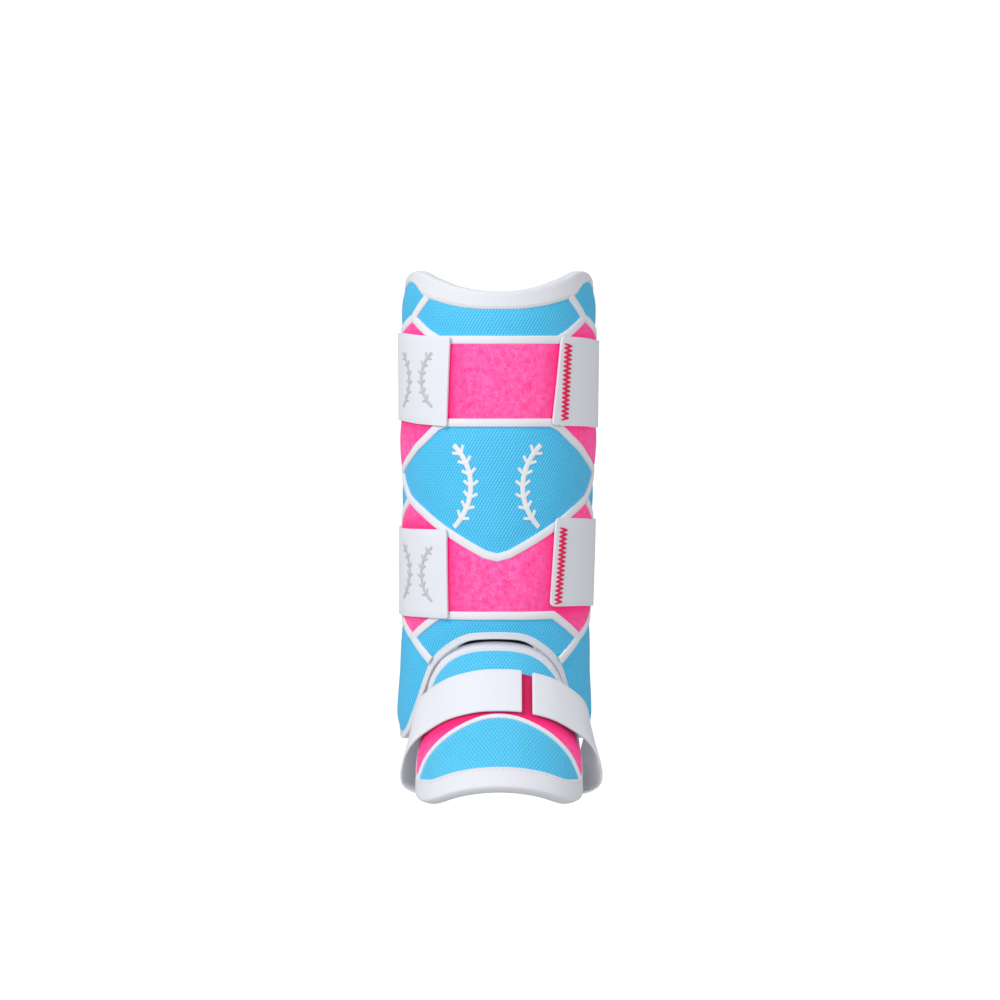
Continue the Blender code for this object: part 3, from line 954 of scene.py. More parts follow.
def raised(sketch: Sketch, along: Any, pitch: Any) -> bpy.types.NodeSocket:
    """A ripple from 0 to 1 along a coordinate.

    Args:
        sketch: The tree that it is drawn in.
        along: The coordinate.
        pitch: Distance between two crests.

    Returns:
        The ripple's height.
    """
    turn = sketch.math("MULTIPLY", sketch.math("DIVIDE", along, pitch), 2 * math.pi)
    half = sketch.math("MULTIPLY", sketch.math("COSINE", turn), 0.5)
    return sketch.math("ADD", half, 0.5)


def knit_group() -> bpy.types.NodeTree:
    """Ribs of a knitted mesh: slanting rows of short loops, or rows that cross.

    Returns:
        The node group, with the outputs Height and Hollow.
    """
    sizes = {"Vector": None, "Pitch": 0.0017, "Angle": 1.0, "Stitch": 0.0011, "Crossed": 0.0}
    group, sketch, given, result = make_group("mesh_knit", sizes, ("Height", "Hollow"))
    turned: list[bpy.types.NodeSocket] = []
    negative = sketch.math("MULTIPLY", given.outputs["Angle"], -1.0)
    for angle in (given.outputs["Angle"], negative):
        rotate = sketch.node("ShaderNodeVectorRotate", rotation_type="Z_AXIS")
        sketch.feed(rotate.inputs["Vector"], given.outputs["Vector"])
        sketch.feed(rotate.inputs["Angle"], angle)
        split = sketch.node("ShaderNodeSeparateXYZ")
        sketch.feed(split.inputs[0], rotate.outputs[0])
        turned.append(split.outputs[0])
        turned.append(split.outputs[1])
    pitch = given.outputs["Pitch"]
    rib = raised(sketch, turned[0], pitch)
    other = raised(sketch, turned[2], pitch)
    row = sketch.math("FLOOR", sketch.math("ADD", sketch.math("DIVIDE", turned[0], pitch), 0.5))
    stagger = sketch.math("MULTIPLY", sketch.math("MULTIPLY", row, 0.5), given.outputs["Stitch"])
    loops = raised(sketch, sketch.math("ADD", turned[1], stagger), given.outputs["Stitch"])
    broken = sketch.math("ADD", sketch.math("MULTIPLY", loops, 0.55), 0.45)
    ribbed = sketch.math("MULTIPLY", rib, broken)
    crossed = sketch.math("MAXIMUM", sketch.math("MULTIPLY", rib, rib),
                          sketch.math("MULTIPLY", other, other))
    height = sketch.blend(given.outputs["Crossed"], ribbed, crossed)
    sketch.feed(result.inputs["Height"], height)
    hollow = sketch.math("SUBTRACT", 1.0, height)
    sketch.feed(result.inputs["Hollow"], sketch.math("POWER", hollow, 2.2))
    return group


def mottle_group() -> bpy.types.NodeTree:
    """Soft patches of lighter and darker tone at two sizes.

    Returns:
        The node group, with the output Tone.
    """
    group, sketch, given, result = make_group(
        "mottle", {"Vector": None, "Patch": 0.01, "Grain": 0.001, "Grain share": 0.3}, ("Tone",)
    )
    tones: list[bpy.types.NodeSocket] = []
    for size in ("Patch", "Grain"):
        noise = sketch.node("ShaderNodeTexNoise")
        sketch.feed(noise.inputs["Vector"], given.outputs["Vector"])
        sketch.feed(noise.inputs["Scale"], sketch.math("DIVIDE", 1.0, given.outputs[size]))
        noise.inputs["Detail"].default_value = 2.5
        tones.append(noise.outputs["Fac"])
    tone = sketch.blend(given.outputs["Grain share"], tones[0], tones[1])
    sketch.feed(result.inputs["Tone"], tone)
    return group


def weave_group() -> bpy.types.NodeTree:
    """Fine woven rows of two pitches that go over and under each other.

    Returns:
        The node group, with the output Height.
    """
    sizes = {"Vector": None, "Warp": 0.0006, "Weft": 0.0009}
    group, sketch, given, result = make_group("weave", sizes, ("Height",))
    split = sketch.node("ShaderNodeSeparateXYZ")
    sketch.feed(split.inputs[0], given.outputs["Vector"])
    warp = raised(sketch, split.outputs[0], given.outputs["Warp"])
    weft = raised(sketch, split.outputs[1], given.outputs["Weft"])
    over = sketch.math("MAXIMUM", sketch.math("MULTIPLY", warp, 0.8), weft)
    sketch.feed(result.inputs["Height"], over)
    return group


@dataclass(frozen=True)
class Effects:
    """The shader node groups that the finishes share."""

    knit: bpy.types.NodeTree
    mottle: bpy.types.NodeTree
    weave: bpy.types.NodeTree

    @staticmethod
    def made() -> "Effects":
        """The groups, built once."""
        return Effects(knit_group(), mottle_group(), weave_group())


@dataclass
class Cloth:
    """A material under construction, with its shader and coordinates."""

    name: str
    sketch: Sketch = field(init=False)
    made: bpy.types.Material = field(init=False)
    shader: bpy.types.Node = field(init=False)

    def __post_init__(self) -> None:
        """Makes the material and finds its shader."""
        self.made = bpy.data.materials.new(self.name)
        self.made.use_nodes = True
        self.sketch = Sketch(self.made.node_tree)
        self.shader = self.made.node_tree.nodes["Principled BSDF"]

    def flat(self) -> bpy.types.NodeSocket:
        """The piece's own flat pattern coordinates, in metres."""
        return self.sketch.node("ShaderNodeUVMap", uv_map="flat").outputs[0]

    def space(self) -> bpy.types.NodeSocket:
        """Object coordinates."""
        return self.sketch.node("ShaderNodeTexCoord").outputs["Object"]

    def effect(self, group: bpy.types.NodeTree, vector: Any, **sizes: float) -> bpy.types.Node:
        """A shared effect with this material's own values.

        Args:
            group: The node group.
            vector: The coordinates that it reads.
            **sizes: Values of its inputs, with underlines for spaces.

        Returns:
            The group's node.
        """
        made = self.sketch.node("ShaderNodeGroup", node_tree=group)
        self.sketch.feed(made.inputs["Vector"], vector)
        for name, value in sizes.items():
            made.inputs[name.replace("_", " ")].default_value = value
        return made

    def bump(self, height: Any, strength: float, distance: float) -> None:
        """Raises the surface's shading by a height."""
        made = self.sketch.node("ShaderNodeBump")
        made.inputs["Strength"].default_value = strength
        made.inputs["Distance"].default_value = distance
        self.sketch.feed(made.inputs["Height"], height)
        self.sketch.feed(self.shader.inputs["Normal"], made.outputs[0])

    def sheen(self, weight: float, roughness: float, tint: Colour) -> None:
        """Gives the fibres' soft edge glow."""
        self.shader.inputs["Sheen Weight"].default_value = weight
        self.shader.inputs["Sheen Roughness"].default_value = roughness
        self.shader.inputs["Sheen Tint"].default_value = (*tint, 1.0)


@dataclass(frozen=True)
class MeshFabric:
    """Knitted sports mesh over foam."""

    name: str
    lit: Colour
    deep: Colour
    pitch: float
    angle: float
    stitch: float
    patterning: Patterning
    gloss: float = 0.8

    def material(self, effects: Effects) -> bpy.types.Material:
        """The finish as a material."""
        cloth = Cloth(self.name)
        sketch = cloth.sketch
        knit = cloth.effect(effects.knit, cloth.flat(), Pitch=self.pitch, Angle=self.angle,
                            Stitch=self.stitch, Crossed=self.patterning.value)
        tone = cloth.effect(effects.mottle, cloth.space(), Patch=0.022, Grain=0.0006,
                            Grain_share=0.45)
        shade = sketch.math("MULTIPLY", knit.outputs["Hollow"], 0.9)
        light = sketch.math("SUBTRACT", 1.0, shade)
        spread = sketch.math("MULTIPLY", sketch.math("SUBTRACT", tone.outputs[0], 0.5), 0.35)
        share = sketch.math("ADD", light, spread)
        sketch.feed(cloth.shader.inputs["Base Color"], sketch.tint(share, self.deep, self.lit))
        rough = sketch.blend(knit.outputs["Hollow"], 0.50, 0.80)
        sketch.feed(cloth.shader.inputs["Roughness"], rough)
        cloth.shader.inputs["Specular IOR Level"].default_value = self.gloss
        cloth.bump(knit.outputs["Height"], 0.75, 0.0004)
        cloth.sheen(0.12, 0.5, (0.55, 0.85, 1.0))
        return cloth.made


@dataclass(frozen=True)
class LoopFabric:
    """Brushed loop fabric that the hook tabs fasten to."""

    name: str
    lit: Colour
    deep: Colour
    # Colour of the painted shadow under the straps
    pressed_and_shaded: Colour = (0.80, 0.0, 0.120)
    # Painted glow: emission that keeps the pink bright where it lies in shade
    glow: Colour = (1.0, 0.010, 0.150)
    glow_strength: float = 0.22

    def material(self, effects: Effects) -> bpy.types.Material:
        """The finish as a material."""
        cloth = Cloth(self.name)
        sketch = cloth.sketch
        patches = cloth.effect(effects.mottle, cloth.space(), Patch=0.0032, Grain=0.0009,
                               Grain_share=0.50)
        fibres = cloth.effect(effects.mottle, cloth.space(), Patch=0.0013, Grain=0.00035,
                              Grain_share=0.55)
        tone = sketch.math("MULTIPLY", sketch.math("SUBTRACT", patches.outputs[0], 0.30), 2.5)
        # Painted strap shadow: the nap deepens beside the straps and turns to the shadow colour under
        # them
        strap_shade = sketch.node("ShaderNodeAttribute", attribute_name="strap_shade").outputs["Fac"]
        twice = sketch.math("MULTIPLY", strap_shade, 2.0)
        unshaded = sketch.math("SUBTRACT", 1.0, sketch.clamp(twice))
        share = sketch.math("MULTIPLY", sketch.clamp(tone), unshaded)
        deep_shade = sketch.clamp(sketch.math("SUBTRACT", twice, 1.0))
        nap_and_shade = sketch.tint(share, self.deep, self.lit)
        colour = sketch.tint(deep_shade, nap_and_shade, self.pressed_and_shaded)
        sketch.feed(cloth.shader.inputs["Base Color"], colour)
        sketch.feed(cloth.shader.inputs["Roughness"], sketch.blend(fibres.outputs[0], 0.98, 0.80))
        # The painted glow fades out under the painted strap shadow
        glow = sketch.tint(deep_shade, self.glow, (0.0, 0.0, 0.0))
        sketch.feed(cloth.shader.inputs["Emission Color"], glow)
        cloth.shader.inputs["Emission Strength"].default_value = self.glow_strength
        cloth.bump(fibres.outputs[0], 0.9, 0.0009)
        cloth.sheen(0.22, 0.6, (1.0, 0.40, 0.80))
        return cloth.made


@dataclass(frozen=True)
class WovenTape:
    """Woven or knitted band, tape or lining."""

    name: str
    lit: Colour
    deep: Colour
    warp: float
    weft: float
    relief: float
    roughness: float = 0.72
    glow: float = 0.25

    def material(self, effects: Effects) -> bpy.types.Material:
        """The finish as a material."""
        cloth = Cloth(self.name)
        sketch = cloth.sketch
        weave = cloth.effect(effects.weave, cloth.flat(), Warp=self.warp, Weft=self.weft)
        tone = cloth.effect(effects.mottle, cloth.space(), Patch=0.016, Grain=0.0008,
                            Grain_share=0.3)
        # Painted shade in the low threads of the weave, mixed with tone that differs at random
        share = sketch.blend(0.35, weave.outputs["Height"], tone.outputs[0])
        sketch.feed(cloth.shader.inputs["Base Color"], sketch.tint(share, self.deep, self.lit))
        low = self.roughness + 0.06
        rough = sketch.blend(weave.outputs["Height"], low, self.roughness)
        sketch.feed(cloth.shader.inputs["Roughness"], rough)
        cloth.bump(weave.outputs["Height"], 0.6, self.relief)
        cloth.sheen(self.glow, 0.5, self.lit)
        return cloth.made


@dataclass(frozen=True)
class Film:
    """Thin heat-pressed film or glossy thread."""

    name: str
    lit: Colour
    deep: Colour
    roughness: float

    def material(self, effects: Effects) -> bpy.types.Material:
        """The finish as a material."""
        cloth = Cloth(self.name)
        sketch = cloth.sketch
        tone = cloth.effect(effects.mottle, cloth.space(), Patch=0.0040, Grain=0.0005,
                            Grain_share=0.4)
        colour = sketch.tint(tone.outputs[0], self.deep, self.lit)
        sketch.feed(cloth.shader.inputs["Base Color"], colour)
        rough = sketch.blend(tone.outputs[0], self.roughness - 0.08, self.roughness + 0.08)
        sketch.feed(cloth.shader.inputs["Roughness"], rough)
        cloth.bump(tone.outputs[0], 0.25, 0.0002)
        return cloth.made


@dataclass(frozen=True)
class Finishes:
    """Every finish of the leg guard as a material."""

    shin_mesh: bpy.types.Material
    foot_mesh: bpy.types.Material
    loop: bpy.types.Material
    binding: bpy.types.Material
    trim: bpy.types.Material
    strap: bpy.types.Material
    lining: bpy.types.Material
    web: bpy.types.Material
    thread: bpy.types.Material
    white_thread: bpy.types.Material
    grey_film: bpy.types.Material
    white_film: bpy.types.Material

    @staticmethod
    def made() -> "Finishes":
        """The materials, built once."""
        effects = Effects.made()
        blue = (0.085, 0.670, 0.990)
        deep_blue = (0.012, 0.410, 0.860)
        white = (0.800, 0.815, 0.870)
        grey_white = (0.750, 0.765, 0.825)
        return Finishes(
            MeshFabric("shin_mesh", blue, deep_blue, 0.00165, math.radians(30), 0.0020,
                       Patterning.RIBBED).material(effects),
            MeshFabric("foot_mesh", blue, deep_blue, 0.00175, math.radians(32), 0.0011,
                       Patterning.CROSSED).material(effects),
            LoopFabric("brushed_loop", (1.0, 0.235, 0.670), (1.0, 0.008, 0.220)).material(effects),
            WovenTape("stretch_binding", white, grey_white, 0.00040, 0.00080,
                      0.00006).material(effects),
            WovenTape("flat_trim", (0.855, 0.865, 0.915), (0.800, 0.810, 0.865), 0.0005, 0.0005,
                      0.00008).material(effects),
            WovenTape("strap_elastic", (0.825, 0.850, 0.910), (0.775, 0.800, 0.870), 0.0009, 0.0006,
                      0.00010).material(effects),
            WovenTape("plain_lining", (0.060, 0.060, 0.066), (0.022, 0.022, 0.025), 0.0011, 0.0011,
                      0.00018, 0.86).material(effects),
            # The hinge is a real web; its near-black colour is painted shade, so the slit behind the
            # ankle arch reads dark
            WovenTape("dark_web", (0.050, 0.050, 0.055), (0.018, 0.018, 0.020), 0.0014, 0.0008,
                      0.00025, 0.82).material(effects),
            Film("pink_thread", (0.950, 0.006, 0.125), (0.800, 0.002, 0.080), 0.45).material(effects),
            Film("white_thread", (0.86, 0.87, 0.89), (0.74, 0.75, 0.78), 0.50).material(effects),
            Film("grey_film", (0.580, 0.600, 0.625), (0.520, 0.540, 0.570), 0.42).material(effects),
            Film("white_film", (0.880, 0.885, 0.900), (0.820, 0.830, 0.860), 0.55).material(effects),
        )


def outline_sheet(outline: np.ndarray) -> bmesh.types.BMesh:
    """A flat sheet filling a closed outline.

    Args:
        outline: The outline's points.

    Returns:
        A mesh with one face.
    """
    flat = bmesh.new()
    bmesh.ops.create_circle(flat, cap_ends=True, segments=len(outline), radius=1.0)
    flat.verts.ensure_lookup_table()
    for vert, place in zip(flat.verts, outline[::-1]):
        vert.co = (place[0], place[1], 0.0)
    return flat


def cut_across(flat: bmesh.types.BMesh, axis: int, spacing: float) -> None:
    """Cuts a flat mesh by evenly spaced planes.

    Args:
        flat: The mesh.
        axis: 0 to cut across its width, 1 along its length.
        spacing: Distance between two cuts.
    """
    places = [vert.co[axis] for vert in flat.verts]
    normal = Vector((1.0, 0.0, 0.0)) if axis == 0 else Vector((0.0, 1.0, 0.0))
    for step in range(math.ceil(min(places) / spacing), math.floor(max(places) / spacing) + 1):
        geometry = flat.verts[:] + flat.edges[:] + flat.faces[:]
        bmesh.ops.bisect_plane(flat, geom=geometry, dist=0.00001,
                               plane_co=normal * (step * spacing), plane_no=normal)


def thicken(flat: bmesh.types.BMesh, low: float, high: float) -> None:
    """Turns a flat sheet into a flat block between two levels."""
    bmesh.ops.translate(flat, verts=flat.verts, vec=(0.0, 0.0, low))
    grown = bmesh.ops.extrude_face_region(flat, geom=flat.faces[:])
    top = [item for item in grown["geom"] if isinstance(item, bmesh.types.BMVert)]
    bmesh.ops.translate(flat, verts=top, vec=(0.0, 0.0, high - low))


def round_rim(flat: bmesh.types.BMesh, radius: float) -> None:
    """Rounds the upper and lower rim of a flat block of one face a side."""
    bmesh.ops.recalc_face_normals(flat, faces=flat.faces)
    rims = [edge for edge in flat.edges
            if len(edge.link_faces) == 2 and abs(edge.verts[0].co.z - edge.verts[1].co.z) < 1e-7
            and any(abs(face.normal.z) > 0.9 for face in edge.link_faces)
            and any(abs(face.normal.z) < 0.1 for face in edge.link_faces)]
    bmesh.ops.bevel(flat, geom=rims, offset=radius, offset_type="OFFSET", affect="EDGES",
                    segments=2, profile=0.5, material=-1, clamp_overlap=True)


def store_flat(flat: bmesh.types.BMesh) -> None:
    """Keeps the flat pattern coordinates as the piece's own UV map."""
    layer = flat.loops.layers.uv.new("flat")
    for face in flat.faces:
        for loop in face.loops:
            loop[layer].uv = loop.vert.co.xy


def lay(flat: bmesh.types.BMesh, place: Place) -> None:
    """Lays every point of a flat block on a form."""
    for vert in flat.verts:
        vert.co = place(*vert.co)


def sweep(line: np.ndarray, closed: bool, sections: np.ndarray, place: Place) -> bmesh.types.BMesh:
    """A band swept along a line in the flat and laid on a form.

    Args:
        line: The line's points.
        closed: Whether it closes on itself.
        sections: For each point of the line, a ring of (aside, lift).
        place: The form.

    Returns:
        The closed band.
    """
    sides = inward_directions(line) if closed else side_directions(line, closed=False)
    count = len(line)
    rings = sections.shape[1]
    spans = count if closed else count - 1
    band = bmesh.new()
    bmesh.ops.create_grid(band, x_segments=spans, y_segments=rings, size=1.0)
    band.verts.ensure_lookup_table()
    gaps = np.linalg.norm(np.roll(line, -1, axis=0) - line, axis=1)
    run = np.concatenate(((0.0,), np.cumsum(gaps)))
    ring = np.vstack((sections[0], sections[0][:1]))
    girth = np.concatenate(((0.0,), np.cumsum(np.linalg.norm(np.diff(ring, axis=0), axis=1))))
    layer = band.loops.layers.uv.new("flat")
    for face in band.faces:
        for loop in face.loops:
            index = loop.vert.index
            loop[layer].uv = (run[index % (spans + 1)], girth[index // (spans + 1)])
    for index, vert in enumerate(band.verts):
        i = index % (spans + 1) % count
        aside, lift = sections[i][index // (spans + 1) % rings]
        at = line[i] + sides[i] * aside
        vert.co = place(float(at[0]), float(at[1]), float(lift))
    bmesh.ops.remove_doubles(band, verts=band.verts, dist=0.000002)
    open_edges = [edge for edge in band.edges if len(edge.link_faces) == 1]
    if open_edges:
        bmesh.ops.holes_fill(band, edges=open_edges)
    return band


def add_stitch(flat: bmesh.types.BMesh, start: np.ndarray, end: np.ndarray, radius: float,
               lift: float) -> None:
    """Adds one stitch to a flat mesh, a drawn-out ball of thread.

    Args:
        flat: The mesh.
        start: Where the stitch comes up.
        end: Where it goes down.
        radius: The thread's radius.
        lift: Height of its middle line.
    """
    run = end - start
    middle = (start + end) / 2
    length = float(np.linalg.norm(run))
    made = bmesh.ops.create_uvsphere(flat, u_segments=8, v_segments=6, radius=1.0)["verts"]
    bmesh.ops.scale(flat, vec=(length / 2 + radius * 0.6, radius, radius), verts=made)
    turn = Matrix.Rotation(math.atan2(float(run[1]), float(run[0])), 3, "Z")
    bmesh.ops.rotate(flat, cent=(0.0, 0.0, 0.0), matrix=turn, verts=made)
    bmesh.ops.translate(flat, vec=(float(middle[0]), float(middle[1]), lift), verts=made)


def finish_piece(mesh_data: bmesh.types.BMesh, name: str,
                 finishes: Sequence[bpy.types.Material]) -> bpy.types.Object:
    """Closes a bmesh into a piece of the leg guard.

    Args:
        mesh_data: The mesh, which is freed.
        name: The piece's name.
        finishes: Its materials.

    Returns:
        The object, at the origin.
    """
    bmesh.ops.recalc_face_normals(mesh_data, faces=mesh_data.faces)
    if mesh_data.calc_volume(signed=True) < 0:
        bmesh.ops.reverse_faces(mesh_data, faces=mesh_data.faces)
    mesh = bpy.data.meshes.new(name)
    mesh_data.to_mesh(mesh)
    mesh_data.free()
    for finish in finishes:
        mesh.materials.append(finish)
    mesh.polygons.foreach_set("use_smooth", [True] * len(mesh.polygons))
    mesh.set_sharp_from_angle(angle=math.radians(50.0))
    made = bpy.data.objects.new(name, mesh)
    bpy.context.scene.collection.objects.link(made)
    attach(made, "root")
    LOG.info("%s: %d faces", name, len(mesh.polygons))
    return made


@dataclass
class Pad:
    """A padded panel with its edge binding."""

    name: str
    outline: np.ndarray
    face: SoftFace
    wall: float
    edge_wall: float
    taper: float = 0.0130
    step: float = 0.0026
    cover_wide: float = 0.0014
    cover_narrow: float = 0.0005
    wide: float = 0.0108
    narrow: float = 0.0038

    def dip(self) -> float:
        """How far each face sinks at the padded edge."""
        return (self.wall - self.edge_wall) / 2

    def cover(self, width: float) -> float:
        """How far the binding stands off the panel where it is a certain width."""
        share = min(1.0, max(0.0, (width - self.narrow) / (self.wide - self.narrow)))
        return self.cover_narrow + (self.cover_wide - self.cover_narrow) * share

    def build_panel(self, mesh: bpy.types.Material, lining: bpy.types.Material) -> bpy.types.Object:
        """Builds the padded panel.

        Args:
            mesh: The outer fabric.
            lining: The fabric next to the leg.

        Returns:
            The panel.
        """
        edge = SoftFace(self.face.base, 0.0, 1.0)
        edge.hold(self.outline, closed=True, half=0.0)
        flat = outline_sheet(self.outline)
        cut_across(flat, 0, self.step)
        cut_across(flat, 1, self.step)
        thicken(flat, -1.0, 0.0)
        store_flat(flat)
        for face in flat.faces:
            face.material_index = 0 if face.calc_center_median().z > -0.01 else 1
        for vert in flat.verts:
            across, along, level = vert.co
            left = max(0.0, 1.0 - edge.seam_gap(np.array((across, along))) / self.taper)
            sunk = self.dip() * left * left * (3 - 2 * left)
            if level > -0.5:
                vert.co = self.face.place(across, along, -sunk)
            else:
                vert.co = self.face.base(across, along, sunk - self.wall)
        return finish_piece(flat, f"{self.name}_pad", (mesh, lining))

    def band_section(self, width: float) -> list[tuple[float, float]]:
        """Section of the binding where it is a certain width.

        Args:
            width: How far the binding reaches in from the edge.

        Returns:
            A closed ring of (inset, lift).
        """
        outer: list[tuple[float, float]] = []
        inner: list[tuple[float, float]] = []
        cover = self.cover(width)
        for share in (1.0, 0.975, 0.90, 0.72, 0.45, 0.20, 0.0):
            left = max(0.0, 1.0 - share * width / self.taper)
            sunk = self.dip() * left * left * (3 - 2 * left)
            dome = math.sqrt(1.0 - share ** 7)
            outer.append((share * width, -sunk - 0.0001 + (cover + 0.0001) * dome))
            inner.append((share * width * 0.96, -sunk - 0.0005))
        half = self.edge_wall / 2
        middle = -self.wall / 2
        turn = [(-cover * math.cos(angle), middle + (half + cover) * math.sin(angle))
                for angle in np.radians((62, 38, 13, -13, -38, -62))]
        under = [(inset, -self.wall - lift) for inset, lift in reversed(outer)]
        under_inner = [(inset, -self.wall - lift) for inset, lift in inner]
        return outer + turn + under + under_inner + list(reversed(inner))

    def build_binding(self, widths: np.ndarray, tape: bpy.types.Material) -> bpy.types.Object:
        """Builds the binding that wraps the panel's edge.

        Args:
            widths: Its width at each point of the outline.
            tape: Its fabric.

        Returns:
            The binding.
        """
        sections = np.array([self.band_section(float(width)) for width in widths])
        band = sweep(self.outline, True, sections, self.face.base)
        made = finish_piece(band, f"{self.name}_edge_binding", (tape,))
        gaps = np.linalg.norm(np.roll(self.outline, -1, axis=0) - self.outline, axis=1)
        return made

    def build_stitching(self, widths: np.ndarray, thread: bpy.types.Material) -> bpy.types.Object:
        """Builds the row of stitches near the binding's inner edge.

        Args:
            widths: The binding's width at each point of the outline.
            thread: The thread's finish.

        Returns:
            The stitches as one piece.
        """
        line = self.outline + inward_directions(self.outline) * (widths * 0.80)[:, None]
        gaps = np.linalg.norm(np.roll(line, -1, axis=0) - line, axis=1)
        run = np.concatenate(((0.0,), np.cumsum(gaps)))
        closed = np.vstack((line, line[:1]))
        flat = bmesh.new()
        pitch = 0.0032
        for at in np.arange(0.0, run[-1] - pitch, pitch):
            start, end = (np.array([np.interp(x, run, closed[:, i]) for i in range(2)])
                          for x in (at, at + pitch * 0.72))
            width = float(np.interp(at, run, np.append(widths, widths[0])))
            left = max(0.0, 1.0 - 0.80 * width / self.taper)
            sunk = self.dip() * left * left * (3 - 2 * left)
            add_stitch(flat, start, end, 0.00022, self.cover(width) * 0.93 - sunk)
        store_flat(flat)
        lay(flat, self.face.base)
        return finish_piece(flat, f"{self.name}_edge_stitches", (thread,))


@dataclass
class Facing:
    """Loop fabric and flat trims on a padded face."""

    face: SoftFace
    half_line: Callable[[Table], np.ndarray]
    step: float = 0.0030
    loop_wall: float = 0.0011
    tuck: float = 0.0012
    tucked: float = 0.0003
    sunk: float = 0.0004
    # Strength of the painted strap shadow on the loop fabric
    strap_shade_strength: float = 0.5
    trim_width: float = 0.0048
    trim_lift: float = 0.0012

    def build_loop(self, name: str, rows: Table, fabric: bpy.types.Material) -> bpy.types.Object:
        """Builds a loop fabric panel whose edges tuck under the trims.

        Args:
            name: The piece's name.
            rows: Right half of its outline.
            fabric: Its finish.

        Returns:
            The panel.
        """
        outline = both_halves(self.half_line(rows), closed=True)
        outline = straight_line(outline, True, self.step)
        outline = outline - inward_directions(outline) * self.tuck
        edge = SoftFace(self.face.base, 0.0, 1.0)
        edge.hold(outline, closed=True, half=0.0)
        flat = outline_sheet(outline)
        cut_across(flat, 0, self.step)
        cut_across(flat, 1, self.step)
        thicken(flat, -1.0, 0.0)
        store_flat(flat)
        # Painted strap shadow, kept as a point attribute for the loop material
        strap_shade = flat.verts.layers.float.new("strap_shade")
        for vert in flat.verts:
            across, along, level = vert.co
            vert[strap_shade] = self.face.strap_shade(across, along) * self.strap_shade_strength
            share = min(1.0, edge.seam_gap(np.array((across, along))) / (2.2 * self.tuck))
            soft = share * share * (3 - 2 * share)
            top = self.tucked + (self.loop_wall - self.tucked) * soft
            vert.co = self.face.place(across, along, top if level > -0.5 else -self.sunk)
        made = finish_piece(flat, name, (fabric,))
        return made

    def build_trim(self, name: str, line: np.ndarray, closed: bool,
                   tape: bpy.types.Material) -> bpy.types.Object:
        """Builds one flat trim with softly rounded edges.

        Args:
            name: The piece's name.
            line: Its middle line.
            closed: Whether it closes on itself.
            tape: Its finish.

        Returns:
            The trim.
        """
        half = self.trim_width / 2
        top = self.trim_lift
        ring = np.array(((-half, -0.0003), (-half, 0.45 * top), (-0.93 * half, 0.80 * top),
                         (-0.75 * half, top), (0.0, 1.04 * top), (0.75 * half, top),
                         (0.93 * half, 0.80 * top), (half, 0.45 * top), (half, -0.0003)))
        sections = np.repeat(ring[None], len(line), axis=0)
        return finish_piece(sweep(line, closed, sections, self.face.base), name, (tape,))


@dataclass
class Motif:
    """A plain ball-seam motif: two arcs that face each other, crossed by short ticks."""

    name: str
    centre: tuple[float, float]
    radius: float
    gap: float
    sweep_degrees: float
    line_width: float
    tick: float
    ticks: int
    turned: bool
    tick_lean: float = 38.0

    def strokes(self) -> list[tuple[np.ndarray, float]]:
        """The motif's strokes in the flat.

        Returns:
            Lines with their widths.
        """
        made: list[tuple[np.ndarray, float]] = []
        reach = math.radians(self.sweep_degrees)
        lean = math.radians(self.tick_lean)
        for side in (-1.0, 1.0):
            angles = np.linspace(-reach, reach, 25)
            across = side * (self.gap / 2 + self.radius * (1 - np.cos(angles)))
            made.append((np.column_stack((across, self.radius * np.sin(angles))), self.line_width))
            for angle in np.linspace(-reach, reach, self.ticks + 2)[1:-1]:
                root = np.array((side * (self.gap / 2 + self.radius * (1 - math.cos(angle))),
                                 self.radius * math.sin(angle)))
                normal = np.array((side * math.cos(angle), -math.sin(angle)))
                upward = np.array((side * math.sin(angle), math.cos(angle)))
                for way in (-1.0, 1.0):
                    run = normal * way * math.cos(lean) + upward * math.sin(lean)
                    start = root + run * self.line_width * 0.4
                    made.append((np.array((start, start + run * self.tick)),
                                 self.line_width * 0.62))
        return made

    def build(self, place: Place, lift: float, film: bpy.types.Material) -> bpy.types.Object:
        """Builds the motif as one thin raised film.

        Args:
            place: The form that it lies on.
            lift: Height of the face under it.
            film: Its finish.

        Returns:
            The motif.
        """
        whole = bmesh.new()
        for line, width in self.strokes():
            turned = line[:, ::-1] if self.turned else line
            middle = straight_line(turned + np.array(self.centre), False, 0.0015)
            half = width / 2
            ring = np.array(((-half, -0.0006), (-half, 0.00022), (-0.8 * half, 0.00036),
                             (0.8 * half, 0.00036), (half, 0.00022), (half, -0.0006)))
            ring = ring + np.array((0.0, lift))
            band = sweep(middle, False, np.repeat(ring[None], len(middle), axis=0), place)
            spare = bpy.data.meshes.new("stroke")
            band.to_mesh(spare)
            band.free()
            whole.from_mesh(spare)
            bpy.data.meshes.remove(spare)
        return finish_piece(whole, self.name, (film,))


def dress(piece: bpy.types.Object, node: str) -> bpy.types.Object:
    """Hides the carried-over node that a piece stands in for, and returns the piece."""
    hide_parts(node)
    return piece


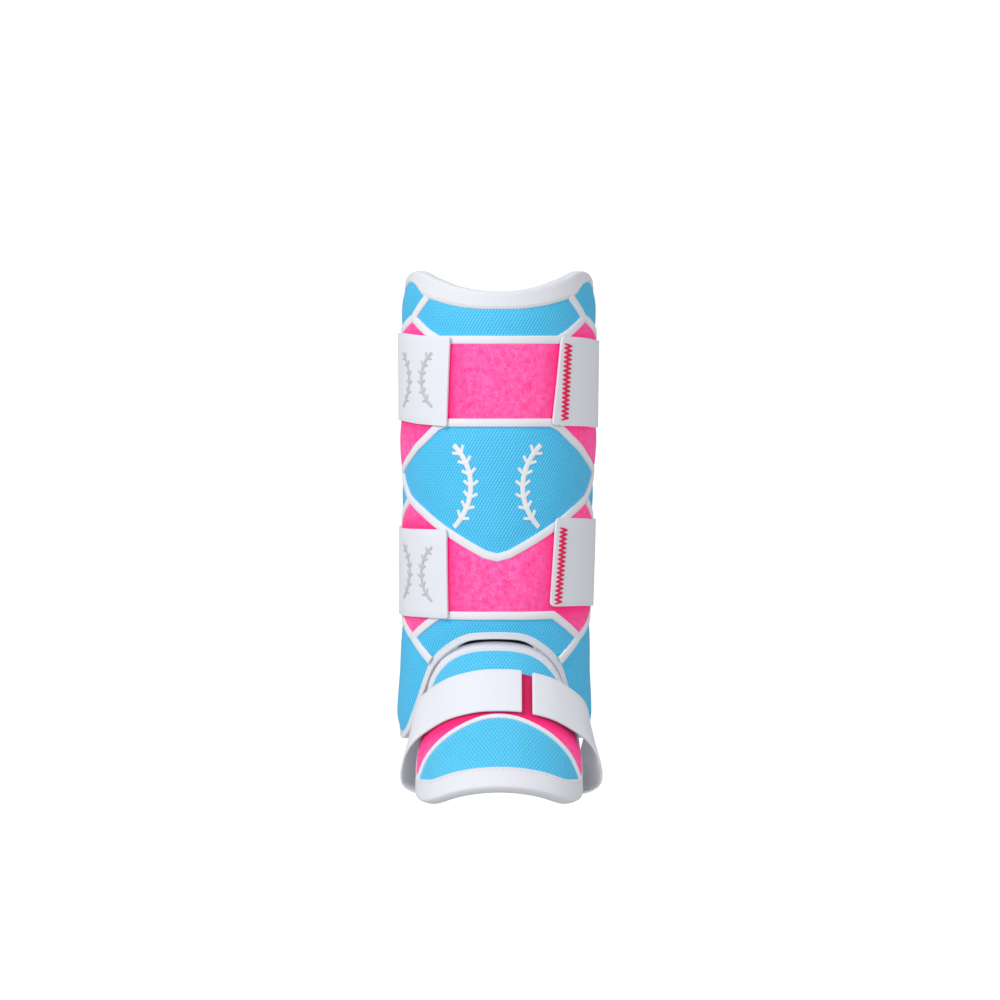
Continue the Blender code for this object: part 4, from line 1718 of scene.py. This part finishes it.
@dataclass
class ShinGuard:
    """The padded shin shell with its binding, loop fabric, trims and motif."""

    form: ShellForm
    finishes: Finishes
    rim_binding: float = 0.0108
    edge_binding: float = 0.0038
    rim_level: float = 0.60
    step: float = 0.0030
    face: SoftFace = field(init=False)
    outline: np.ndarray = field(init=False)

    def __post_init__(self) -> None:
        """Draws the outline and sews the face down along its seams."""
        half = both_halves(self.form.half_line(SHELL_ROWS), closed=True)
        self.outline = smooth_line(half, True, self.step)
        self.face = SoftFace(self.form.place, swell=0.0011, reach=0.0052)
        half_widths = self.widths() / 2
        bound = self.outline + inward_directions(self.outline) * half_widths[:, None]
        self.face.hold(bound, closed=True, half=half_widths)
        for line, closed in self.seams().values():
            self.face.hold(line, closed, half=0.0022)
        for rows in (UPPER_STRAP_ROWS, LOWER_STRAP_ROWS):
            middle = float(self.form.level(column(rows, "centre")).mean())
            left = float(np.radians(rows[1][0])) * self.form.half_width
            right = float(np.radians(rows[-1][0] + 360.0)) * self.form.half_width
            self.face.press((-1.0, middle - 0.0240), (left - 0.001, middle + 0.0240))
            self.face.press((right + 0.001, middle - 0.0240), (1.0, middle + 0.0240))
        self.face.blow(self.outline)

    def widths(self) -> np.ndarray:
        """Binding width at each point of the outline, wide along the rim only."""
        degrees = np.degrees(np.abs(self.outline[:, 0]) / self.form.half_width)
        wide = np.interp(degrees, column(RIM_BINDING_ROWS, "degrees"),
                         column(RIM_BINDING_ROWS, "width") * self.rim_binding)
        on_rim = self.outline[:, 1] > self.rim_level * self.form.rim_height
        return np.where(on_rim, wide, self.edge_binding)

    def seams(self) -> dict[str, tuple[np.ndarray, bool]]:
        """The trims' middle lines in the flat, by name, and whether each is closed."""
        made: dict[str, tuple[np.ndarray, bool]] = {}
        for name, rows, closed in (("top_panel_trim", TOP_TRIM_ROWS, False),
                                   ("centre_panel_trim", CENTRE_TRIM_ROWS, True),
                                   ("ankle_panel_trim", ANKLE_TRIM_ROWS, False)):
            line = both_halves(self.form.half_line(rows), closed)
            made[name] = (straight_line(line, closed, self.step), closed)
        for name, start, low, end, high in SIDE_TRIM_ROWS[1:]:
            rows = (("degrees", "height"), (start, low), (end, high))
            half = straight_line(self.form.half_line(rows), False, self.step)
            made[f"{name}_side_trim_right"] = (half, False)
            made[f"{name}_side_trim_left"] = (half * np.array((-1.0, 1.0)), False)
        return made

    def build(self) -> None:
        """Builds and dresses every piece of the shin guard."""
        pad = Pad("shin", self.outline, self.face, wall=0.0080, edge_wall=0.0046)
        panel = pad.build_panel(self.finishes.shin_mesh, self.finishes.lining)
        dress(panel, "shin_shell")
        band = pad.build_binding(self.widths(), self.finishes.binding)
        dress(band, "shin_binding")
        stitches = pad.build_stitching(self.widths(), self.finishes.white_thread)
        facing = Facing(self.face, self.form.half_line)
        for name, rows in (("upper_loop_panel", UPPER_LOOP_ROWS),
                           ("lower_loop_panel", LOWER_LOOP_ROWS)):
            dress(facing.build_loop(f"{name}_cloth", rows, self.finishes.loop), name)
        for name, (line, closed) in self.seams().items():
            tape = facing.build_trim(f"{name}_tape", line, closed, self.finishes.trim)
            dress(tape, name)
        motif = Motif("shin_motif", (-0.0006, -0.0052), radius=0.032, gap=0.030,
                      sweep_degrees=48.0, line_width=0.0028, tick=0.0042, ticks=7, turned=False)
        motif.build(self.face.place, 0.0, self.finishes.white_film)


@dataclass
class InstepGuard:
    """The padded instep guard with its binding, loop fabric and trim."""

    form: GuardForm
    finishes: Finishes
    hem_binding: float = 0.0130
    step: float = 0.0026
    face: SoftFace = field(init=False)
    outline: np.ndarray = field(init=False)

    def __post_init__(self) -> None:
        """Draws the outline and sews the face down along its seams."""
        half = both_halves(self.form.half_line(GUARD_ROWS), closed=True)
        self.outline = smooth_line(half, True, self.step)
        self.face = SoftFace(self.form.place, swell=0.0009, reach=0.0048)
        half_widths = self.widths() / 2
        bound = self.outline + inward_directions(self.outline) * half_widths[:, None]
        self.face.hold(bound, closed=True, half=half_widths)
        self.face.hold(self.seam(), closed=False, half=0.0022)
        self.face.press((-1.0, 0.010), (1.0, 0.040))
        self.face.blow(self.outline)

    def widths(self) -> np.ndarray:
        """Binding width at each point of the outline, wide along the hem only."""
        share = self.outline[:, 1] / self.form.length
        return np.interp(share, column(HEM_BINDING_ROWS, "along"),
                         column(HEM_BINDING_ROWS, "width") * self.hem_binding)

    def seam(self) -> np.ndarray:
        """The trim's middle line in the flat."""
        line = both_halves(self.form.half_line(GUARD_TRIM_ROWS), closed=False)
        return smooth_line(line, False, self.step)

    def build(self) -> None:
        """Builds and dresses every piece of the instep guard."""
        pad = Pad("foot", self.outline, self.face, wall=0.0060, edge_wall=0.0040, step=0.0024,
                  narrow=0.0010)
        panel = pad.build_panel(self.finishes.foot_mesh, self.finishes.lining)
        dress(panel, "foot_guard")
        band = pad.build_binding(self.widths(), self.finishes.binding)
        dress(band, "foot_binding")
        stitches = pad.build_stitching(self.widths(), self.finishes.white_thread)
        facing = Facing(self.face, self.form.half_line, tuck=0.0022, trim_width=0.0028,
                        strap_shade_strength=1.0)
        loop = facing.build_loop("instep_loop_cloth", GUARD_LOOP_ROWS, self.finishes.loop)
        dress(loop, "instep_loop_panel")
        tape = facing.build_trim("instep_trim_tape", self.seam(), False, self.finishes.trim)
        dress(tape, "instep_trim")


@dataclass
class CalfStraps:
    """The two elastic calf straps with their tabs, stitching and motifs."""

    form: ShellForm
    finishes: Finishes
    width: float = 0.0516
    wall: float = 0.0016
    base: float = 0.0012
    rim: float = 0.0005
    corner: float = 0.0030
    thread: float = 0.00068
    stitches: int = 34
    zigzag: float = 0.0064

    def tab_lift(self, around: float, ends: tuple[float, float]) -> float:
        """How far a tab's end stands off the loop fabric.

        Args:
            around: Place along the strap.
            ends: Where its left and right ends are.

        Returns:
            The extra lift in metres.
        """
        left = 0.0009 * math.exp(-max(0.0, ends[0] - around) / 0.006)
        right = 0.0007 * math.exp(-max(0.0, around - ends[1]) / 0.006)
        return left + right

    def build_strap(self, name: str, rows: Table) -> bpy.types.Object:
        """Builds one strap from its left tab round the back to its right tab.

        Args:
            name: The node that it stands for.
            rows: Its path in the flat.

        Returns:
            The strap.
        """
        around = np.radians(column(rows, "degrees")) * self.form.half_width
        centre = self.form.level(column(rows, "centre"))
        slant = column(rows, "end_slant") * self.width
        half = self.width / 2
        upper = smooth_line(np.column_stack((around + slant, centre + half)), False, 0.004)
        lower = smooth_line(np.column_stack((around - slant, centre - half)), False, 0.004)
        outline = np.vstack((upper, lower[::-1]))
        corners = {0: 0.0012, len(upper) - 1: self.corner, len(upper): self.corner,
                   len(outline) - 1: 0.0012}
        made: list[np.ndarray] = []
        for i, point in enumerate(outline):
            if i in corners:
                trio = np.array((outline[i - 1], point, outline[(i + 1) % len(outline)]))
                made.extend(rounded_corners(trio, (0.0, corners[i], 0.0), 5)[5:10])
            else:
                made.append(point)
        outline = np.array(made)
        flat = outline_sheet(outline)
        thicken(flat, self.base, self.base + self.wall)
        round_rim(flat, self.rim)
        cut_across(flat, 0, 0.0040)
        cut_across(flat, 1, 0.0060)
        store_flat(flat)
        ends = (float(around[0]), float(around[-1]))
        lay(flat, lambda u, v, lift: self.form.place(u, v, lift + self.tab_lift(u, ends)))
        piece = finish_piece(flat, f"{name}_band", (self.finishes.strap,))
        return dress(piece, name)

    def build_zigzag(self, row: tuple[Any, ...]) -> bpy.types.Object:
        """Builds the zigzag stitching of one right-hand tab.

        Args:
            row: Tab name, and place of the top and the bottom of the zigzag.

        Returns:
            The thread.
        """
        tab, top_degrees, top, low_degrees, low = row
        start = np.array((math.radians(top_degrees) * self.form.half_width, top))
        end = np.array((math.radians(low_degrees) * self.form.half_width, low))
        across = (end - start) / np.linalg.norm(end - start)
        aside = np.array((-across[1], across[0])) * self.zigzag / 2
        flat = bmesh.new()
        points = [start + (end - start) * i / self.stitches + aside * (1 if i % 2 else -1)
                  for i in range(self.stitches + 1)]
        for first, second in zip(points, points[1:]):
            add_stitch(flat, first, second, self.thread, self.base + self.wall + 0.0002)
        store_flat(flat)
        lay(flat, self.form.place)
        piece = finish_piece(flat, f"{tab}_tab_zigzag", (self.finishes.thread,))
        return piece

    def build(self) -> None:
        """Builds and dresses every piece of the calf straps."""
        for tab, rows in (("upper", UPPER_STRAP_ROWS), ("lower", LOWER_STRAP_ROWS)):
            self.build_strap(f"{tab}_calf_strap", rows)
            centre = float(self.form.level(column(rows, "centre"))[1])
            motif = Motif(f"{tab}_tab_motif", (-0.0540, centre), radius=0.0185, gap=0.0120,
                          sweep_degrees=58.0, line_width=0.0020, tick=0.0029, ticks=6,
                          turned=False)
            film = motif.build(self.form.place, self.base + self.wall, self.finishes.grey_film)
        for row in ZIGZAG_ROWS[1:]:
            self.build_zigzag(row)


@dataclass
class FootStrap:
    """The strap over the instep and under the foot."""

    form: StirrupForm
    finishes: Finishes
    width: float = 0.0284
    wall: float = 0.0015
    right_end: float = 0.0190
    left_end: float = 0.0128
    rim: float = 0.0005

    def build(self) -> None:
        """Builds and dresses the foot strap."""
        half = self.width / 2
        first, last = self.right_end, self.form.length + self.left_end
        corners = np.array(((first, -half), (last, -half), (last, half), (first, half)))
        outline = rounded_corners(corners, [0.0008] * 4, 4)
        outline = straight_line(outline, True, 0.0040)
        flat = outline_sheet(outline)
        thicken(flat, 0.0, self.wall)
        round_rim(flat, self.rim)
        cut_across(flat, 0, 0.0030)
        cut_across(flat, 1, 0.0048)
        store_flat(flat)
        lay(flat, self.form.place)
        piece = finish_piece(flat, "foot_strap_band", (self.finishes.strap,))
        dress(piece, "foot_strap")


@dataclass
class AnkleHinge:
    """The plain web that joins shell and guard behind the ankle arch."""

    form: HingeForm
    finishes: Finishes
    half_width: float = 0.0290
    wall: float = 0.0012

    def build(self) -> None:
        """Builds and dresses the hinge."""
        half, length = self.half_width, self.form.length
        corners = np.array(((-half, 0.0), (half, 0.0), (half, length), (-half, length)))
        outline = straight_line(rounded_corners(corners, [0.002] * 4, 4), True, 0.0040)
        flat = outline_sheet(outline)
        thicken(flat, -self.wall, 0.0)
        round_rim(flat, 0.0004)
        cut_across(flat, 0, 0.0040)
        cut_across(flat, 1, 0.0030)
        store_flat(flat)
        lay(flat, self.form.place)
        piece = finish_piece(flat, "ankle_hinge_web", (self.finishes.web,))
        dress(piece, "ankle_hinge")


@dataclass
class Studio:
    """Pale floor, soft light and the camera at the photograph's angle."""

    floor_height: float = -0.320
    floor_glow: float = 0.75
    ambient: float = 0.56
    mirrored: float = 0.22
    backdrop: float = 1.05
    distance: float = 1.62
    elevation: float = 3.0
    aim_height: float = -0.015
    view_degrees: float = 2 * math.degrees(math.atan(500 / 2711.9))

    def build_floor(self) -> None:
        """Builds the floor."""
        plane = bmesh.new()
        bmesh.ops.create_grid(plane, x_segments=1, y_segments=1, size=60.0)
        bmesh.ops.translate(plane, verts=plane.verts, vec=(0.0, 0.0, self.floor_height))
        mesh = bpy.data.meshes.new("studio_floor")
        plane.to_mesh(mesh)
        plane.free()
        cloth = Cloth("pale_floor")
        cloth.shader.inputs["Base Color"].default_value = (0.60, 0.60, 0.60, 1.0)
        cloth.shader.inputs["Roughness"].default_value = 0.9
        cloth.shader.inputs["Emission Color"].default_value = (1.0, 1.0, 1.0, 1.0)
        seen = cloth.sketch.node("ShaderNodeLightPath").outputs["Is Camera Ray"]
        glow = cloth.sketch.math("MULTIPLY", seen, self.floor_glow)
        cloth.sketch.feed(cloth.shader.inputs["Emission Strength"], glow)
        mesh.materials.append(cloth.made)
        floor = bpy.data.objects.new("studio_floor", mesh)
        bpy.context.scene.collection.objects.link(floor)

    def build_lamp(self, name: str, place: Sequence[float], size: float, power: float) -> None:
        """Builds one soft lamp aimed at the leg guard.

        Args:
            name: The lamp's name.
            place: Where it stands.
            size: Side of its square face.
            power: Its power in watts.
        """
        data = bpy.data.lights.new(name, "AREA")
        data.shape = "SQUARE"
        data.size = size
        data.energy = power
        lamp = bpy.data.objects.new(name, data)
        lamp.location = place
        lamp.rotation_euler = (Vector(place) * -1).to_track_quat("-Z", "Y").to_euler()
        bpy.context.scene.collection.objects.link(lamp)

    def build_camera(self) -> None:
        """Builds the camera."""
        data = bpy.data.cameras.new("photo_camera")
        data.lens_unit = "FOV"
        data.angle = math.radians(self.view_degrees)
        camera = bpy.data.objects.new("photo_camera", data)
        rise = (self.distance - 0.02) * math.tan(math.radians(self.elevation))
        camera.location = (0.0008, -self.distance, self.aim_height + rise)
        camera.rotation_euler = (math.radians(90.0 - self.elevation), 0.0, 0.0)
        bpy.context.scene.collection.objects.link(camera)
        bpy.context.scene.camera = camera

    def build(self) -> None:
        """Builds the whole studio."""
        self.build_floor()
        self.build_lamp("key_lamp", (-1.05, -1.25, 0.95), 0.9, 20.5)
        self.build_lamp("fill_lamp", (1.30, -1.10, 0.25), 1.2, 4.8)
        world = bpy.data.worlds.new("studio_world")
        bpy.context.scene.world = world
        world.use_nodes = True
        sky = world.node_tree.nodes["Background"]
        sky.inputs["Color"].default_value = (1.0, 1.0, 1.0, 1.0)
        sketch = Sketch(world.node_tree)
        rays = sketch.node("ShaderNodeLightPath").outputs
        soft = sketch.blend(rays["Is Glossy Ray"], self.ambient, self.mirrored)
        strength = sketch.blend(rays["Is Camera Ray"], soft, self.backdrop)
        sketch.feed(sky.inputs["Strength"], strength)
        bpy.context.scene.view_settings.view_transform = "Standard"
        self.build_camera()


def main() -> None:
    """Builds every sub-assembly of the leg guard and the studio."""
    logging.basicConfig(level=logging.INFO, format="%(message)s")
    finishes = Finishes.made()
    shell = ShellForm()
    guard = GuardForm(shell)
    ShinGuard(shell, finishes).build()
    InstepGuard(guard, finishes).build()
    CalfStraps(shell, finishes).build()
    FootStrap(StirrupForm(guard), finishes).build()
    AnkleHinge(HingeForm(guard), finishes).build()
    Studio().build()


if __name__ == "__main__":
    main()
